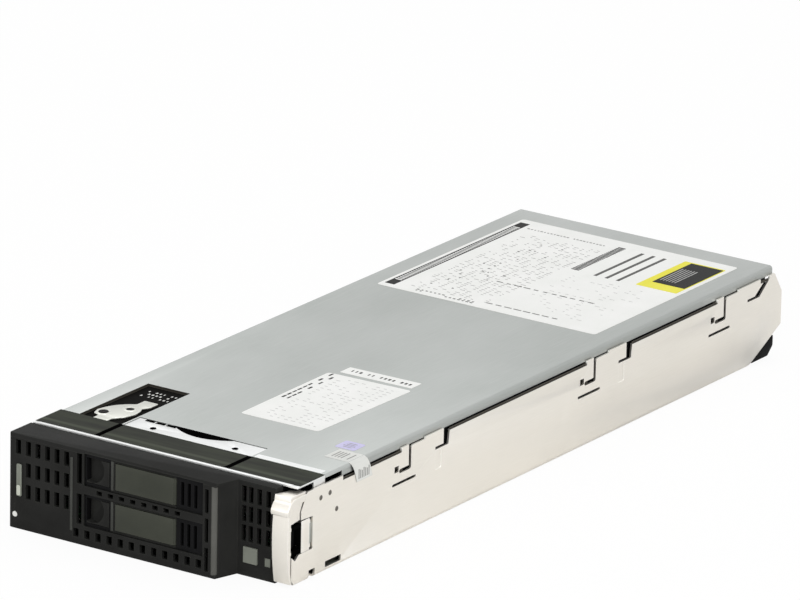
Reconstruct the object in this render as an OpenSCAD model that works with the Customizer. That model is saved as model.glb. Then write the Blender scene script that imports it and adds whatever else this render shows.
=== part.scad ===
// Half-height blade server lying flat: a folded sheet tray with a sliding cover, a moulded
// front with two drive bays, and the boards, heatsinks and connectors that it carries.
// Blade axes: x runs from the left side to the right, y from the bezel's face to the rear,
// z up from the base. The finished part is centred on its footprint.

/* [Overall] */
// Width of the tray across its side walls
body_w = 181; // [180:0.5:188]
// Length from the bezel's face to the rear connector's face
body_l = 517.6; // [512:0.5:535]
// Height from the base to the top of the cover
body_h = 55.6; // [55.4:0.1:58]
// Gap between pieces that move past each other
move_gap = 0.3; // [0.25:0.05:0.4]
// Gap round pieces that are set in place
set_gap = 0.1; // [0.05:0.05:0.2]

/* [Tray] */
// Sheet thickness of the tray
tray_t = 1.2; // [1:0.1:1.5]
// Outside radius of the tray's bends
tray_bend_r = 2.4; // [2:0.1:3]
// Depth of the side walls' top edge below the cover's top
wall_drop = 7.1; // [6.1:0.1:9.6]
// Depth of the front corners' top edge below the cover's top
wall_front_drop = 2.6; // [2:0.1:3.6]
// Distance from the front at which the raised front corner ends
wall_front_end = 62; // [60:1:70]
// Depth of the slanted cut at the walls' lower rear corner
rear_cut_l = 36; // [30:1:44]
// Height of the slanted cut at the walls' lower rear corner
rear_cut_h = 18; // [12:1:20]
// Distance from the connector's face to the end of the side walls
wall_rear_inset = 2.6; // [2:0.2:6]
// Distance from the connector's face to the end of the floor
floor_rear_inset = 16; // [14:1:24]

/* [Lock stations] */
// Place of the first station's entry slot, as a share of the body's length
station_first = 0.2454; // [0.24:0.0001:0.26]
// Place of the second station's entry slot, as a share of the body's length
station_second = 0.6057; // [0.59:0.0001:0.62]
// Place of the third station's entry slot, as a share of the body's length
station_third = 0.8733; // [0.865:0.0001:0.875]
// Width of the J-shaped slot
slot_w = 2.4; // [2.2:0.1:3]
// Length of travel of the cover along the J-shaped slot
cover_travel = 8; // [6:0.5:9]
// Depth of the J-shaped slot's lower leg below the cover's top
slot_drop = 17.6; // [15.6:0.1:19.6]
// Length of the J-shaped slot's mouth behind its upright leg
slot_mouth_l = 15; // [12:0.5:17]
// Distance from the start of the ear to the entry slot
ear_lead = 8; // [7:0.5:9.5]
// Distance from the entry slot to the ear's rear end
ear_reach = 39; // [36:0.5:40]
// Depth of the ear's top below the cover's top
ear_drop = 4.4; // [3.6:0.1:4.8]
// Width of the wide upright leg of the relief cut
relief_wide = 6; // [4:0.5:7]
// Width of the narrow lower leg of the relief cut
relief_w = 1.6; // [1.2:0.1:2]
// Length of the relief cut's lower leg
relief_l = 8; // [6:0.5:10]
// Depth of the shallow emboss under the relief cut
emboss_d = 0.4; // [0.2:0.1:0.6]

/* [Cover] */
// Sheet thickness of the cover
cover_t = 1; // [0.8:0.1:1.2]
// Depth of the cover's side flanges
flange_h = 5.1; // [4:0.1:6]
// Outside radius of the cover's bends
cover_bend_r = 2; // [1.6:0.1:2.4]
// Distance from the front to the cover's front edge
cover_front = 47; // [46:0.5:50]
// Distance from the connector's face to the cover's rear edge
cover_rear_inset = 11.6; // [11:0.2:20]
// Depth of the cut-out in the cover's front edge
cutout_d = 16; // [14:0.5:20]
// Width of the crescent finger opening in the deck's flap
finger_w = 35; // [28:1:44]
// Depth of the crescent finger opening in the deck's flap
finger_d = 6; // [4:0.2:8]
// Width of the cover's lock tongues
tongue_w = 6; // [5:0.5:7]
// Radius of the studs that ride in the slots
stud_r = 0.9; // [0.7:0.05:0.95]

/* [Cover latch] */
// Left edge of the pocket that the latch lies in
pocket_x = 14; // [12:0.5:16]
// Width of the pocket
pocket_w = 29; // [28.5:0.5:30]
// Length of the pocket
pocket_l = 65; // [56:1:75]
// Depth of the pocket
pocket_d = 2.1; // [1.9:0.1:2.4]
// Thickness of the pad on the pocket's floor
pad_t = 0.3; // [0.2:0.05:0.4]
// Thickness of the latch plate
latch_t = 1; // [0.8:0.05:1.1]
// Distance from the pocket's front edge to the latch's pivot
latch_pivot_y = 11.5; // [11.5:0.1:13]
// Distance from the pocket's left edge to the latch's pivot
latch_pivot_x = 8.1; // [8:0.1:9]
// Radius of the latch plate's round ends
latch_r = 6; // [5.5:0.1:6.2]
// Radius of the latch's pivot
latch_pin_r = 1.8; // [1.5:0.05:2]
// Radial running clearance of the pivots
pin_clear = 0.05; // [0.03:0.01:0.08]

/* [Bezel] */
// Depth of the moulded bezel
bezel_d = 21; // [20:0.2:23]
// Depth of the moulded bezel's top below the cover's top
bezel_drop = 1; // [0.6:0.1:1.2]
// Distance from the bezel's forward part to the right side
bezel_inset = 41; // [40:0.5:43]
// Depth of the recess at the bezel's right end
recess_d = 14.6; // [12:0.2:16]
// Width of the slanted return into the recess
return_w = 4.6; // [4:0.2:5]
// Wall thickness of the bezel
bezel_t = 2.4; // [2:0.1:2.6]
// Radius of the bezel's left corner
bezel_r = 3; // [2.5:0.1:3.5]
// Width of the vent slots
vent_w = 3.6; // [3:0.1:4]
// Distance between the vent slots
vent_pitch = 6.5; // [6:0.1:6.6]
// Left edge of the first vent slot
vent_x = 5.2; // [5:0.1:5.6]
// Height of each vent slot
vent_h = 8.4; // [7:0.1:9]
// Distance between the rows of vent slots
vent_row_pitch = 12.6; // [12:0.1:13]
// Radius of the rounded bar that trims the bezel's corner
trim_r = 2; // [1.8:0.1:2.2]

/* [Drive bays] */
// Left edge of the drive bays
bay_x = 51.6; // [51.4:0.1:52]
// Distance from the drive bays to the bezel's right edge
bay_right_gap = 8.4; // [8:0.1:9]
// Height of the lower bay above the base
bay_z = 11.2; // [11:0.1:11.4]
// Height of the bar between the two bays
bay_bar_h = 4.6; // [4.4:0.1:5]
// Thickness of the bezel over the upper bay
bay_roof_t = 1.2; // [1:0.1:1.4]
// Sheet thickness of the drive cage
cage_t = 1; // [0.8:0.05:1]
// Width of the carrier's rails beside the disk
rail_w = 4.675; // [4.5:0.005:4.8]
// Length of a disk
disk_l = 100.45; // [98:0.05:101]
// Height of the carrier above and below the disk, taken together
disk_room = 3.2; // [3.1:0.1:6]
// Depth of the carrier's front ahead of the disk
carrier_front_d = 26; // [24:0.5:27]
// Width of the carrier's face at the right of the pull lever
grille_w = 19.8; // [19:0.1:21]
// Height of the carrier's rims above and below the pull lever, taken together
lever_rims = 3; // [2.6:0.1:4]
// Thickness of the carrier's pull lever
lever_t = 1.8; // [1.4:0.1:2]
// Radius of the pull lever's barrel
barrel_r = 1.6; // [1.4:0.1:1.8]
// Radius of the pull lever's trunnions
trunnion_r = 0.7; // [0.6:0.05:0.8]
// Width of the carrier's release button
eject_w = 15; // [14:0.2:15.2]
// Travel of the carrier's release button
eject_travel = 1.5; // [1:0.1:1.6]

/* [Front controls] */
// Width of the ejector lever across the front
ejector_w = 10.6; // [10:0.1:11]
// Sheet thickness of the ejector lever
ejector_t = 1.4; // [1.2:0.1:1.6]
// Distance from the right side to the ejector lever's pivot
ejector_pivot_in = 2.4; // [2.4:0.05:2.8]
// Distance from the front to the ejector lever's pivot
ejector_pivot_y = 31; // [30:0.2:33]
// Radius of the ejector lever's lugs
lug_r = 2.2; // [2:0.05:2.3]
// Radius of the ejector lever's pin
ejector_pin_r = 1.2; // [1:0.05:1.3]
// Radius of the bulged front of the ejector lever
bulge_r = 131; // [110:1:160]
// Width of the square release button
release_w = 9; // [8:0.2:9.4]
// Travel of the square release button
release_travel = 2; // [1:0.1:2.4]
// Radius of the round power button
power_r = 1.6; // [1.4:0.05:1.8]
// Travel of the round power button
power_travel = 1; // [0.5:0.1:1.4]
// Length of the pull-out tab
tab_l = 76; // [70:1:85]
// Depth of the pull-out tab's top edge below the bezel's top
tab_drop = 16.6; // [16.2:0.1:18]
// Thickness of the pull-out tab
tab_t = 2; // [1.6:0.1:2.2]

/* [Boards] */
// Thickness of the circuit boards
board_t = 1.6; // [1.4:0.1:2]
// Height of the standoffs under the system board
standoff_h = 3; // [2.6:0.1:3.2]
// Radius of the standoffs
standoff_r = 3; // [2.5:0.1:3.2]
// Gap from the system board's edge to the side walls
board_edge_gap = 2; // [1.8:0.1:3]
// Distance from the bezel's back to the system board
board_front_gap = 4; // [3:0.5:6]
// Gap between the inner memory sockets and a heatsink
sink_side_gap = 8.1; // [6:0.1:10]
// Length of a heatsink
sink_l = 90; // [84:1:92]
// Gap between a heatsink's top and the cover
sink_top_gap = 8; // [5:0.5:14]
// Thickness of a heatsink's base
sink_base_t = 5; // [4:0.5:6]
// Thickness of a heatsink fin
fin_t = 0.9; // [0.7:0.1:1.1]
// Number of fins on a heatsink
fin_count = 28; // [20:1:30]
// Width and length of a processor socket
socket_w = 58; // [50:1:62]
// Height of a processor socket
socket_h = 4.6; // [4:0.2:6]
// Width and length of a processor's lid
cpu_w = 45; // [38:1:48]
// Height of a processor above its socket
cpu_h = 2.2; // [1.8:0.1:3]
// Gap between the rear memory sockets and the cards behind them
bank_rear_gap = 17.3; // [15:0.1:20]
// Height of a memory module
dimm_h = 30; // [25:0.5:32]
// Distance between memory modules
dimm_pitch = 8.6; // [8:0.1:8.8]
// Memory modules in each group
dimm_count = 4; // [2:1:4]
// Height of a memory socket
dimm_socket_h = 7.4; // [6:0.1:9]
// Distance from the front to the first group of memory and the front processor
midship_y = 166; // [165:1:168]
// Distance from one memory group to the next
bank_gap = 3; // [2:0.5:4]

/* [Rear end] */
// Width of the signal connector
signal_w = 62; // [56:1:66]
// Height of the signal connector
signal_h = 25; // [20:0.5:28]
// Depth of the rear connectors
rear_connector_d = 21.6; // [20:0.2:24]
// Width of the power connector
power_w = 24; // [20:0.5:26]
// Height of the power connector
power_h = 15; // [12:0.5:18]
// Radius of the guide pins' bores
guide_bore_r = 3; // [2.6:0.05:3.2]
// Depth of the guide pins' bores
guide_bore_l = 14; // [12:0.5:15]
// Width and height of a guide block
guide_w = 10; // [9:0.2:11]
// Width of the mezzanine card
mezz_w = 84; // [80:1:86]
// Gap between the rear heatsink and the mezzanine card
mezz_gap = 8.65; // [8:0.05:12]
// Height of the mezzanine card above the system board
mezz_z = 16; // [14:0.5:20]

/* [Hidden] */
$fn = 64;

eps = 0.01;
zinc = "#c2c4c2";
warm_zinc = "#dedad2";
charcoal = "#2e2e2c";
deep_black = "#151513";
board_green = "#27452f";
drive_grey = "#474842";
bright_steel = "#d5d7d8";
connector_black = "#1c1c1e";

// Levels and edges that several pieces share
wall_h = body_h - wall_drop;
wall_front_h = body_h - wall_front_drop;
slot_z = body_h - slot_drop;
bezel_h = body_h - bezel_drop;
bezel_w = body_w - bezel_inset;
inner_left = tray_t;
inner_right = body_w - tray_t;
wall_rear = body_l - wall_rear_inset;
floor_rear = body_l - floor_rear_inset;
stations = [for (share = [station_first, station_second, station_third]) share * body_l];
ear_top = body_h - ear_drop;
cover_left = inner_left + move_gap;
cover_right = inner_right - move_gap;
cover_rear = body_l - cover_rear_inset;
cover_under = body_h - cover_t;
flange_bottom = body_h - flange_h;
deck_top = body_h - 0.2;
deck_t = 1;
deck_rear = cover_front - move_gap;
deck_lip_w = 2;
flap_left = pocket_x + pocket_w + cover_t + 2 * move_gap;
bay_w = bezel_w - bay_x - bay_right_gap;
flap_right = bay_x + bay_w - 1.6;
bezel_end = body_w - ejector_w - 2 * move_gap;
board_z = tray_t + standoff_h;
board_top = board_z + board_t;
board_front = bezel_d + board_front_gap;
board_left = inner_left + board_edge_gap;
board_right = inner_right - board_edge_gap;
rear_panel_t = 1;
rear_panel_y = floor_rear - rear_panel_t;
board_rear = rear_panel_y - set_gap;
mid_x = body_w / 2;

// Drive cage and carriers
bay_h = (bezel_h - bay_z - bay_bar_h - bay_roof_t) / 2;
bay_pitch = bay_h + bay_bar_h;
carrier_w = bay_w - 2 * move_gap;
carrier_h = bay_h - 2 * move_gap;
carrier_x = bay_x + move_gap;
body_drop = 1.4;
rail_h = carrier_h - body_drop;
disk_w = carrier_w - 2 * (rail_w + set_gap);
disk_h = carrier_h - disk_room;
disk_y = carrier_front_d + 2;
rail_rear = disk_y + disk_l + 1.6;
cage_rear = midship_y - 5;
shelf_rear = rail_rear + 4;
backplane_y = shelf_rear + set_gap;
face_y = 1.2;
handle_w = 20.6;
lever_x = carrier_x + handle_w;
lever_l = carrier_w - handle_w - grille_w;
lever_h = carrier_h - lever_rims;
barrel_x = lever_x + lever_l;
barrel_y = face_y + 1.4;

// Processor and memory layout
card_rear = body_l - rear_connector_d - 1;
card_l = 32;
bank_front = midship_y + 6;
bank_l = (card_rear - card_l - bank_rear_gap - bank_front - bank_gap) / 2;
dimm_l = bank_l - 2;
bank_ys = [bank_front, bank_front + bank_l + bank_gap];
bank_side_gap = 4;
dimm_t = 1.2;
dimm_socket_w = 6.4;
bank_w = (dimm_count - 1) * dimm_pitch + dimm_socket_w;
sink_x = board_left + bank_side_gap + bank_w + sink_side_gap;
sink_w = 2 * (mid_x - sink_x);
sink_z = board_top + socket_h + cpu_h;
sink_h = cover_under - sink_z - sink_top_gap;
front_sink_y = midship_y + 12;
rear_sink_y = bank_ys[1] + 2;

// Openings low in the side walls
foot_slot_y = 46;
foot_slot_l = 15;
foot_slot_z = 2.6;
foot_slot_h = 3.4;
toe_notch_y = 30.4;
toe_notch_l = 5.8;
toe_notch_h = 5.4;
rear_lean = 10;

// Ejector lever
ejector_left = body_w - ejector_w;
pivot_x = body_w - ejector_pivot_in;
lug_t = 2;
lug_low_z = 18.5;
lug_high_z = 32.5;
window_low = 17.2;
window_high = 36;
brow_z = 41.5;
foot_y = 13.8;
lever_foot_gap = 0.9;

module seated() translate([-body_w / 2, -body_l / 2, 0]) children();

// A block between two corners
module block(from, to) translate(from) cube(to - from);

// Extrudes a (y, z) outline along x
module along_x(x0, x1) translate([x0, 0, 0]) rotate([90, 0, 90]) linear_extrude(x1 - x0) children();

// Extrudes an (x, z) outline along y
module along_y(y0, y1) translate([0, y1, 0]) rotate([90, 0, 0]) linear_extrude(y1 - y0) children();

// Extrudes an (x, y) outline upwards
module along_z(z0, z1) translate([0, 0, z0]) linear_extrude(z1 - z0) children();

// A rectangle with its two lower corners rounded
module trough_outline(x0, x1, z0, z1, r) {
  translate([x0 + r, z0]) square([x1 - x0 - 2 * r, z1 - z0]);
  translate([x0, z0 + r]) square([x1 - x0, z1 - z0 - r]);
  for (x = [x0 + r, x1 - r]) translate([x, z0 + r]) circle(r);
}

// A rectangle with all corners rounded
module round_rect(x0, y0, w, h, r) {
  translate([x0 + r, y0]) square([w - 2 * r, h]);
  translate([x0, y0 + r]) square([w, h - 2 * r]);
  for (x = [x0 + r, x0 + w - r], y = [y0 + r, y0 + h - r]) translate([x, y]) circle(r);
}

// Mirrors its children to the other side wall as well
module both_sides() {
  children();
  translate([body_w, 0, 0]) mirror([1, 0, 0]) children();
}

// ---- Tray ----

// Side wall outline behind the front corner: flat top, raised rear corner, slanted lower end
module wall_outline(front) {
  hump_rear = wall_rear - 10;
  hump_h = wall_h + 4;
  polygon([
    [front, 0],
    [wall_rear - rear_cut_l, 0],
    [wall_rear - rear_cut_l / 3, rear_cut_h * 2 / 3],
    [wall_rear, rear_cut_h],
    [wall_rear, wall_h - 10],
    [hump_rear + 2, wall_h + 2],
    [hump_rear, hump_h],
    [hump_rear - 9, hump_h],
    [hump_rear - 10, wall_h],
    [wall_front_end, wall_h],
    [wall_front_end, wall_front_h],
    [front, wall_front_h]
  ]);
}

// Ear that hides the gap under the cover's flange at a lock station
module ear_outline(s) {
  translate([s - ear_lead, wall_h - 4]) square([ear_lead + ear_reach, ear_top - wall_h + 4]);
}

// J-shaped slot that a stud of the cover rides in: mouth along the ear's top, an upright
// leg, and a lower leg forwards
module lock_slot_outline(s) {
  leg = cover_travel + slot_w / 2;
  mouth_z = ear_top - 1.2;
  translate([s - slot_w / 2, slot_z]) square([slot_w, body_h]);
  translate([s, mouth_z]) square([slot_mouth_l, body_h]);
  translate([s + slot_w / 2, mouth_z - slot_w]) difference() {
    square(slot_w);
    translate([slot_w, 0]) circle(slot_w);
  }
  translate([s - leg, slot_z - slot_w / 2]) square([leg, slot_w]);
  for (y = [s - leg, s]) translate([y, slot_z]) circle(slot_w / 2);
}

// Z-shaped relief cut that frees the ear's rear end; at the rear station it leans backwards
module relief_outline(s, lean) {
  foot = s + ear_reach - relief_wide;
  leg_top = slot_z + 4.4;
  polygon([
    [foot - relief_l, leg_top - relief_w],
    [foot + relief_wide - 1, leg_top - relief_w],
    [foot + relief_wide + lean, ear_top - 2],
    [foot + relief_wide + lean + 1, body_h],
    [foot + lean, body_h],
    [foot + lean, ear_top - 2],
    [foot, leg_top],
    [foot - relief_l, leg_top]
  ]);
}

// Gauge hole and long slot ahead of the station
module gauge_outline(s) {
  translate([s - 15, slot_z]) square([4, 3.6]);
  round_rect(s - 17, slot_z - 7.6, 23, relief_w, relief_w / 2 - eps);
}

// Shallow emboss under the relief cut
module emboss_outline(s) {
  round_rect(s + 25, slot_z - 9, relief_wide, 11, 1);
}

// Front edge of the right wall, cut back for the ejector lever
module right_front_cut_outline() {
  polygon([
    [0, -1],
    [foot_y + 4, -1],
    [foot_y + 4, 0],
    [foot_y, 4],
    [foot_y, window_low],
    [foot_y + 3.4, window_low - 2.8],
    [foot_y + 7, window_low],
    [ejector_pivot_y + lug_r + 0.4, window_low],
    [ejector_pivot_y + lug_r + 0.4, window_high],
    [foot_y + 8.6, window_high + 0.6],
    [foot_y + 8.6, brow_z],
    [foot_y + 15.6, wall_front_h],
    [foot_y + 15.6, body_h],
    [0, body_h]
  ]);
}

module base_pan() color(warm_zinc) seated() {
  difference() {
    along_y(foot_y, wall_rear) difference() {
      trough_outline(0, body_w, 0, ear_top, tray_bend_r);
      trough_outline(tray_t, body_w - tray_t, tray_t, body_h, tray_bend_r - tray_t);
    }
    // Everything above the walls' top edge, except the ears
    along_x(-1, body_w + 1) difference() {
      square([body_l, body_h]);
      wall_outline(foot_y);
      for (s = stations) ear_outline(s);
    }
    both_sides() {
      along_x(-1, tray_bend_r) {
        for (i = [0:2]) {
          lock_slot_outline(stations[i]);
          relief_outline(stations[i], i == 2 ? rear_lean : 0);
          gauge_outline(stations[i]);
        }
        translate([foot_slot_y, foot_slot_z]) square([foot_slot_l, foot_slot_h]);
      }
      along_x(-1, emboss_d) for (i = [0:1]) emboss_outline(stations[i]);
    }
    // Floor and left wall stop behind the bezel
    block([-1, 0, -1], [body_w - tray_bend_r, bezel_d, body_h]);
    block([tray_bend_r, floor_rear, -1], [body_w - tray_bend_r, body_l, body_h]);
    along_x(body_w - tray_bend_r - 1, body_w + 1) right_front_cut_outline();
    block([body_w - tray_bend_r - 1, toe_notch_y, -1],
          [body_w + 1, toe_notch_y + toe_notch_l, toe_notch_h]);
    for (p = rivet_places) along_x(inner_right - 1, body_w + 1) translate(p) circle(rivet_r);
  }
}

// ---- Bezel ----

bay_zs = [bay_z, bay_z + bay_pitch];
vent_rows = [for (i = [2, 1, 0]) bezel_h - 2.6 - vent_h - i * vent_row_pitch];
vent_columns = floor((bay_x - 8 - vent_x) / vent_pitch);
hole_pitch = 7.5;
hole_w = 3.8;
hole_h = 2.6;
low_hole_z = 4;
low_hole_h = 5;
mid_row_z = bay_z + bay_h + bay_bar_h / 2;
release_x = bezel_w + 9;
release_z = 8;
recess_vent_w = 3.2;
recess_vent_gap = 1.8;
recess_vent_z = release_z + release_w + 3;
recess_vent_pitch = (bezel_h - 1 - recess_vent_z) / 3;
recess_vents = [for (shift = [7, 11.6, 17.2, 23.2]) bezel_w + shift];
window_x = bezel_w + 22.4;
window_w = 4;
window_z = 8;
window_h = 5;
power_x = 4.6;
power_z = 8;
tab_x = 7;
tab_z = 19.6;
tab_h = bezel_h - tab_drop - tab_z;
trim_z = 2;
trim_h = bezel_h - 2 * trim_z;
gap_slot_w = 2.6;
gap_slot_pitch = (bezel_h - 4) / 3;

module bezel_outline() {
  translate([bezel_r, bezel_r]) circle(bezel_r);
  polygon([
    [bezel_r, 0],
    [bezel_w, 0],
    [bezel_w + return_w, recess_d],
    [bezel_end, recess_d],
    [bezel_end, bezel_d],
    [0, bezel_d],
    [0, bezel_r],
    [bezel_r, bezel_r]
  ]);
}

module bezel_hollow_outline() {
  side = bezel_t - 0.7;
  polygon([
    [bezel_t, bezel_t],
    [bezel_w - side, bezel_t],
    [bezel_w + return_w - side, recess_d + bezel_t],
    [bezel_end - bezel_t, recess_d + bezel_t],
    [bezel_end - bezel_t, bezel_d + 1],
    [bezel_t, bezel_d + 1]
  ]);
}

// Slots of one size in a grid, as (x, z) outlines
module slots(xs, zs, w, h) for (x = xs, z = zs) translate([x, z]) square([w, h]);

// All vent slots of the bezel as (x, z) outlines
module vent_outlines() {
  slots([for (i = [1:vent_columns]) vent_x + 0.3 + i * vent_pitch], vent_rows, vent_w, vent_h);
  slots([vent_x], [vent_rows[2]], vent_w, vent_h);
  slots([bay_x - vent_w - 1.3], [for (z = bay_zs) z + 0.6], vent_w, bay_h - 1.2);
  slots([for (x = [bay_x + 8.6:hole_pitch:bay_x + bay_w - 16]) x], [mid_row_z - hole_h / 2], hole_w, hole_h);
  slots([for (x = [bay_x - 7:hole_pitch:bay_x + bay_w - 3]) x], [low_hole_z], hole_w, low_hole_h);
  slots([bay_x + bay_w + 1.2], [for (i = [0:2]) 3 + i * gap_slot_pitch], gap_slot_w, gap_slot_pitch - 3);
  slots(recess_vents, [for (i = [0:2]) recess_vent_z + i * recess_vent_pitch],
        recess_vent_w, recess_vent_pitch - recess_vent_gap);
}

module front_bezel() color(charcoal) seated() difference() {
  along_z(0, bezel_h) bezel_outline();
  along_z(bezel_t, bezel_h - bezel_t) bezel_hollow_outline();
  along_y(-1, bezel_d + 1) vent_outlines();
  for (z = bay_zs) block([bay_x, -1, z], [bay_x + bay_w, bezel_d + 1, z + bay_h]);
  // Bevel along the top of the face
  along_x(-1, bezel_w + return_w)
    polygon([[-1, bezel_h - 1.6], [0, bezel_h - 1.6], [1.6, bezel_h], [-1, bezel_h + 1]]);
  translate([bezel_w - trim_r, trim_r, trim_z]) cylinder(r = trim_r + set_gap, h = trim_h);
  block([bezel_w - trim_r, -1, trim_z], [bezel_w + 1, trim_r + set_gap, trim_z + trim_h]);
  along_y(0, bezel_d) {
    translate([release_x - move_gap, release_z - move_gap]) square(release_w + 2 * move_gap);
    translate([window_x - set_gap, window_z - set_gap])
      square([window_w + 2 * set_gap, window_h + 2 * set_gap]);
    translate([power_x, power_z]) circle(power_r + move_gap);
    translate([tab_x - move_gap, tab_z - move_gap])
      square([tab_t + 2 * move_gap, tab_h + 2 * move_gap]);
  }
}

module edge_trim() color("#66665f") seated() translate([bezel_w - trim_r, trim_r, trim_z])
  cylinder(r = trim_r, h = trim_h);

// Light pipe with a flange behind the bezel
module status_window() color("#8a8f86") seated() {
  inner = recess_d + bezel_t;
  flange = 0.8;
  block([window_x, recess_d + 0.6, window_z], [window_x + window_w, inner + 1, window_z + window_h]);
  block([window_x - flange, inner, window_z - flange],
        [window_x + window_w + flange, inner + 1, window_z + window_h + flange]);
}

// ---- Fixed deck over the drives ----

deck_leg_l = 6;
deck_leg_w = 4;
flap_rear = cover_front + cutout_d - 1;
flap_hole_r = 1.2;

// Circle whose top bites the crescent finger opening out of the flap's rear edge
module crescent_outline() {
  r = (pow(finger_w / 2, 2) + pow(finger_d, 2)) / (2 * finger_d);
  translate([(flap_left + flap_right) / 2 + 2, flap_rear - finger_d + r]) circle(r);
}

module front_deck() color(zinc) seated() difference() {
  under = deck_top - deck_t;
  union() {
    block([cover_left, bezel_d, under], [cover_right, deck_rear, deck_top]);
    block([flap_left, bezel_d, under], [flap_right, flap_rear, deck_top]);
    // Bright lip against the bezel
    block([cover_left + 3, bezel_d, under], [cover_right - 4, bezel_d + deck_lip_w, body_h]);
    // Side flanges inside the walls
    for (x = [cover_left, cover_right - deck_t])
      block([x, ejector_pivot_y + 5, wall_h + 0.5], [x + deck_t, deck_rear, deck_top]);
    // Legs down onto the drive cage
    for (x = [bay_x + deck_leg_w, bay_x + bay_w - 2 * deck_leg_w])
      block([x, bezel_d + 8, cage_top], [x + deck_leg_w, bezel_d + 8 + deck_leg_l, under]);
  }
  along_z(under - 1, deck_top + 1) {
    crescent_outline();
    for (x = [bay_x + 9, flap_right - 15]) translate([x, cover_front + 5]) circle(flap_hole_r, $fn = 24);
  }
}

film_gap = 2.4;

module deck_film() color("#3a3d34") seated() {
  front = bezel_d + deck_lip_w + 0.3;
  left = flap_left - 2.6;
  right = flap_right - 1;
  for (span = [[cover_left, left], [left + film_gap, right], [right + film_gap, cover_right]])
    block([span[0], front, deck_top], [span[1], deck_rear, body_h]);
}

// ---- Drive cage ----

cage_top = bay_z + bay_pitch + rail_h + 2 * move_gap + cage_t;

cage_foot_w = 5;
cage_window_l = 18;
cage_window_pitch = 27;
cage_slot_w = 3;
cage_slot_l = 40;
cage_slot_pitch = 9;

module drive_cage() color(bright_steel) seated() {
  left = bay_x - cage_t;
  right = bay_x + bay_w + cage_t;
  front = bezel_d;
  windows = floor((cage_rear - bezel_d - 20) / cage_window_pitch);
  top_slots = floor((bay_w - 8) / cage_slot_pitch);
  difference() {
    union() {
      for (x = [left, right - cage_t])
        block([x, front, board_top + 0.2], [x + cage_t, cage_rear, cage_top]);
      block([left, front, bay_z - cage_t], [right, cage_rear, bay_z]);
      block([left, front, mid_row_z - cage_t / 2], [right, shelf_rear, mid_row_z + cage_t / 2]);
      block([left, front, cage_top - cage_t], [right, cage_rear, cage_top]);
      for (x = [left - cage_foot_w, right])
        block([x, front, board_top], [x + cage_foot_w, cage_rear, board_top + cage_t]);
    }
    // Lightening holes along both sides
    for (i = [0:windows - 1], z = bay_zs) along_x(left - 1, right + 1)
      round_rect(bezel_d + 10 + i * cage_window_pitch, z + 5, cage_window_l, bay_h - 11, 3);
    // Vents in the top
    for (i = [0:top_slots - 1])
      block([bay_x + 6 + i * cage_slot_pitch, bezel_d + 60, cage_top - 2],
            [bay_x + 6 + cage_slot_w + i * cage_slot_pitch, bezel_d + 60 + cage_slot_l, cage_top + 1]);
  }
}

module drive_backplane() color(board_green) seated()
  block([bay_x + set_gap, backplane_y, bay_z],
        [bay_x + bay_w - set_gap, backplane_y + board_t, cage_top - cage_t]);

plug_w = 36;
plug_h = 6;

module backplane_connectors() color(connector_black) seated() for (z = bay_zs) {
  mid = z + rail_h / 2;
  disk_end = disk_y + disk_l;
  bay_mid = bay_x + bay_w / 2;
  difference() {
    block([bay_mid - plug_w / 2, disk_end + 0.6, mid - plug_h / 2],
          [bay_mid + plug_w / 2, backplane_y, mid + plug_h / 2]);
    block([bay_mid - plug_w / 2 + 2, disk_y, mid - 1], [bay_mid + plug_w / 2 - 2, disk_end + 3, mid + 1]);
  }
}

// ---- Boards ----

standoff_inset = 4.4;
standoff_ys = [bezel_t + tab_l + 11, midship_y + 1.8, bank_ys[1] + bank_l + 4.2, board_rear - 8];
standoff_places = [
  for (y = standoff_ys, x = [board_left + standoff_inset, board_right - standoff_inset]) [x, y]
];
screw_r = 1.5;
screw_head_r = 2.9;
screw_head_h = 1.6;

module system_board() color(board_green) seated() difference() {
  block([board_left, board_front, board_z], [board_right, board_rear, board_top]);
  for (p = standoff_places)
    translate([p[0], p[1], board_z - 1]) cylinder(r = screw_r + set_gap * 2, h = board_t + 2);
}

module standoffs() color(bright_steel) seated() for (p = standoff_places)
  translate([p[0], p[1], tray_t]) cylinder(r = standoff_r, h = standoff_h);

module board_screws() color(bright_steel) seated() for (p = standoff_places) {
  translate([p[0], p[1], board_z]) cylinder(r = screw_r, h = board_t);
  translate([p[0], p[1], board_top]) cylinder(r = screw_head_r, h = screw_head_h);
}

sink_ys = [front_sink_y, rear_sink_y];
socket_places = [for (y = sink_ys) [mid_x, y + sink_l / 2]];

cpu_sunk = 1.5;

module cpu_sockets() color("#3b3b3d") seated() for (p = socket_places)
  translate([p[0] - socket_w / 2, p[1] - socket_w / 2, board_top]) difference() {
    cube([socket_w, socket_w, socket_h]);
    inset = (socket_w - cpu_w) / 2 - 0.5;
    translate([inset, inset, socket_h - cpu_sunk]) cube([cpu_w + 1, cpu_w + 1, cpu_sunk + 1]);
  }

module processors() color(bright_steel) seated() for (p = socket_places)
  translate([p[0] - cpu_w / 2, p[1] - cpu_w / 2, board_top + socket_h - cpu_sunk])
    cube([cpu_w, cpu_w, cpu_h + cpu_sunk]);

sink_screw_in = 6;
sink_screw_r = 1.9;
sink_screw_head_r = 3.6;
sink_screw_head_h = 5;

function sink_corners(y) = [
  for (dx = [sink_screw_in, sink_w - sink_screw_in], dy = [sink_screw_in + 1, sink_l - sink_screw_in - 1])
    [sink_x + dx, y + dy]
];

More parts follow.
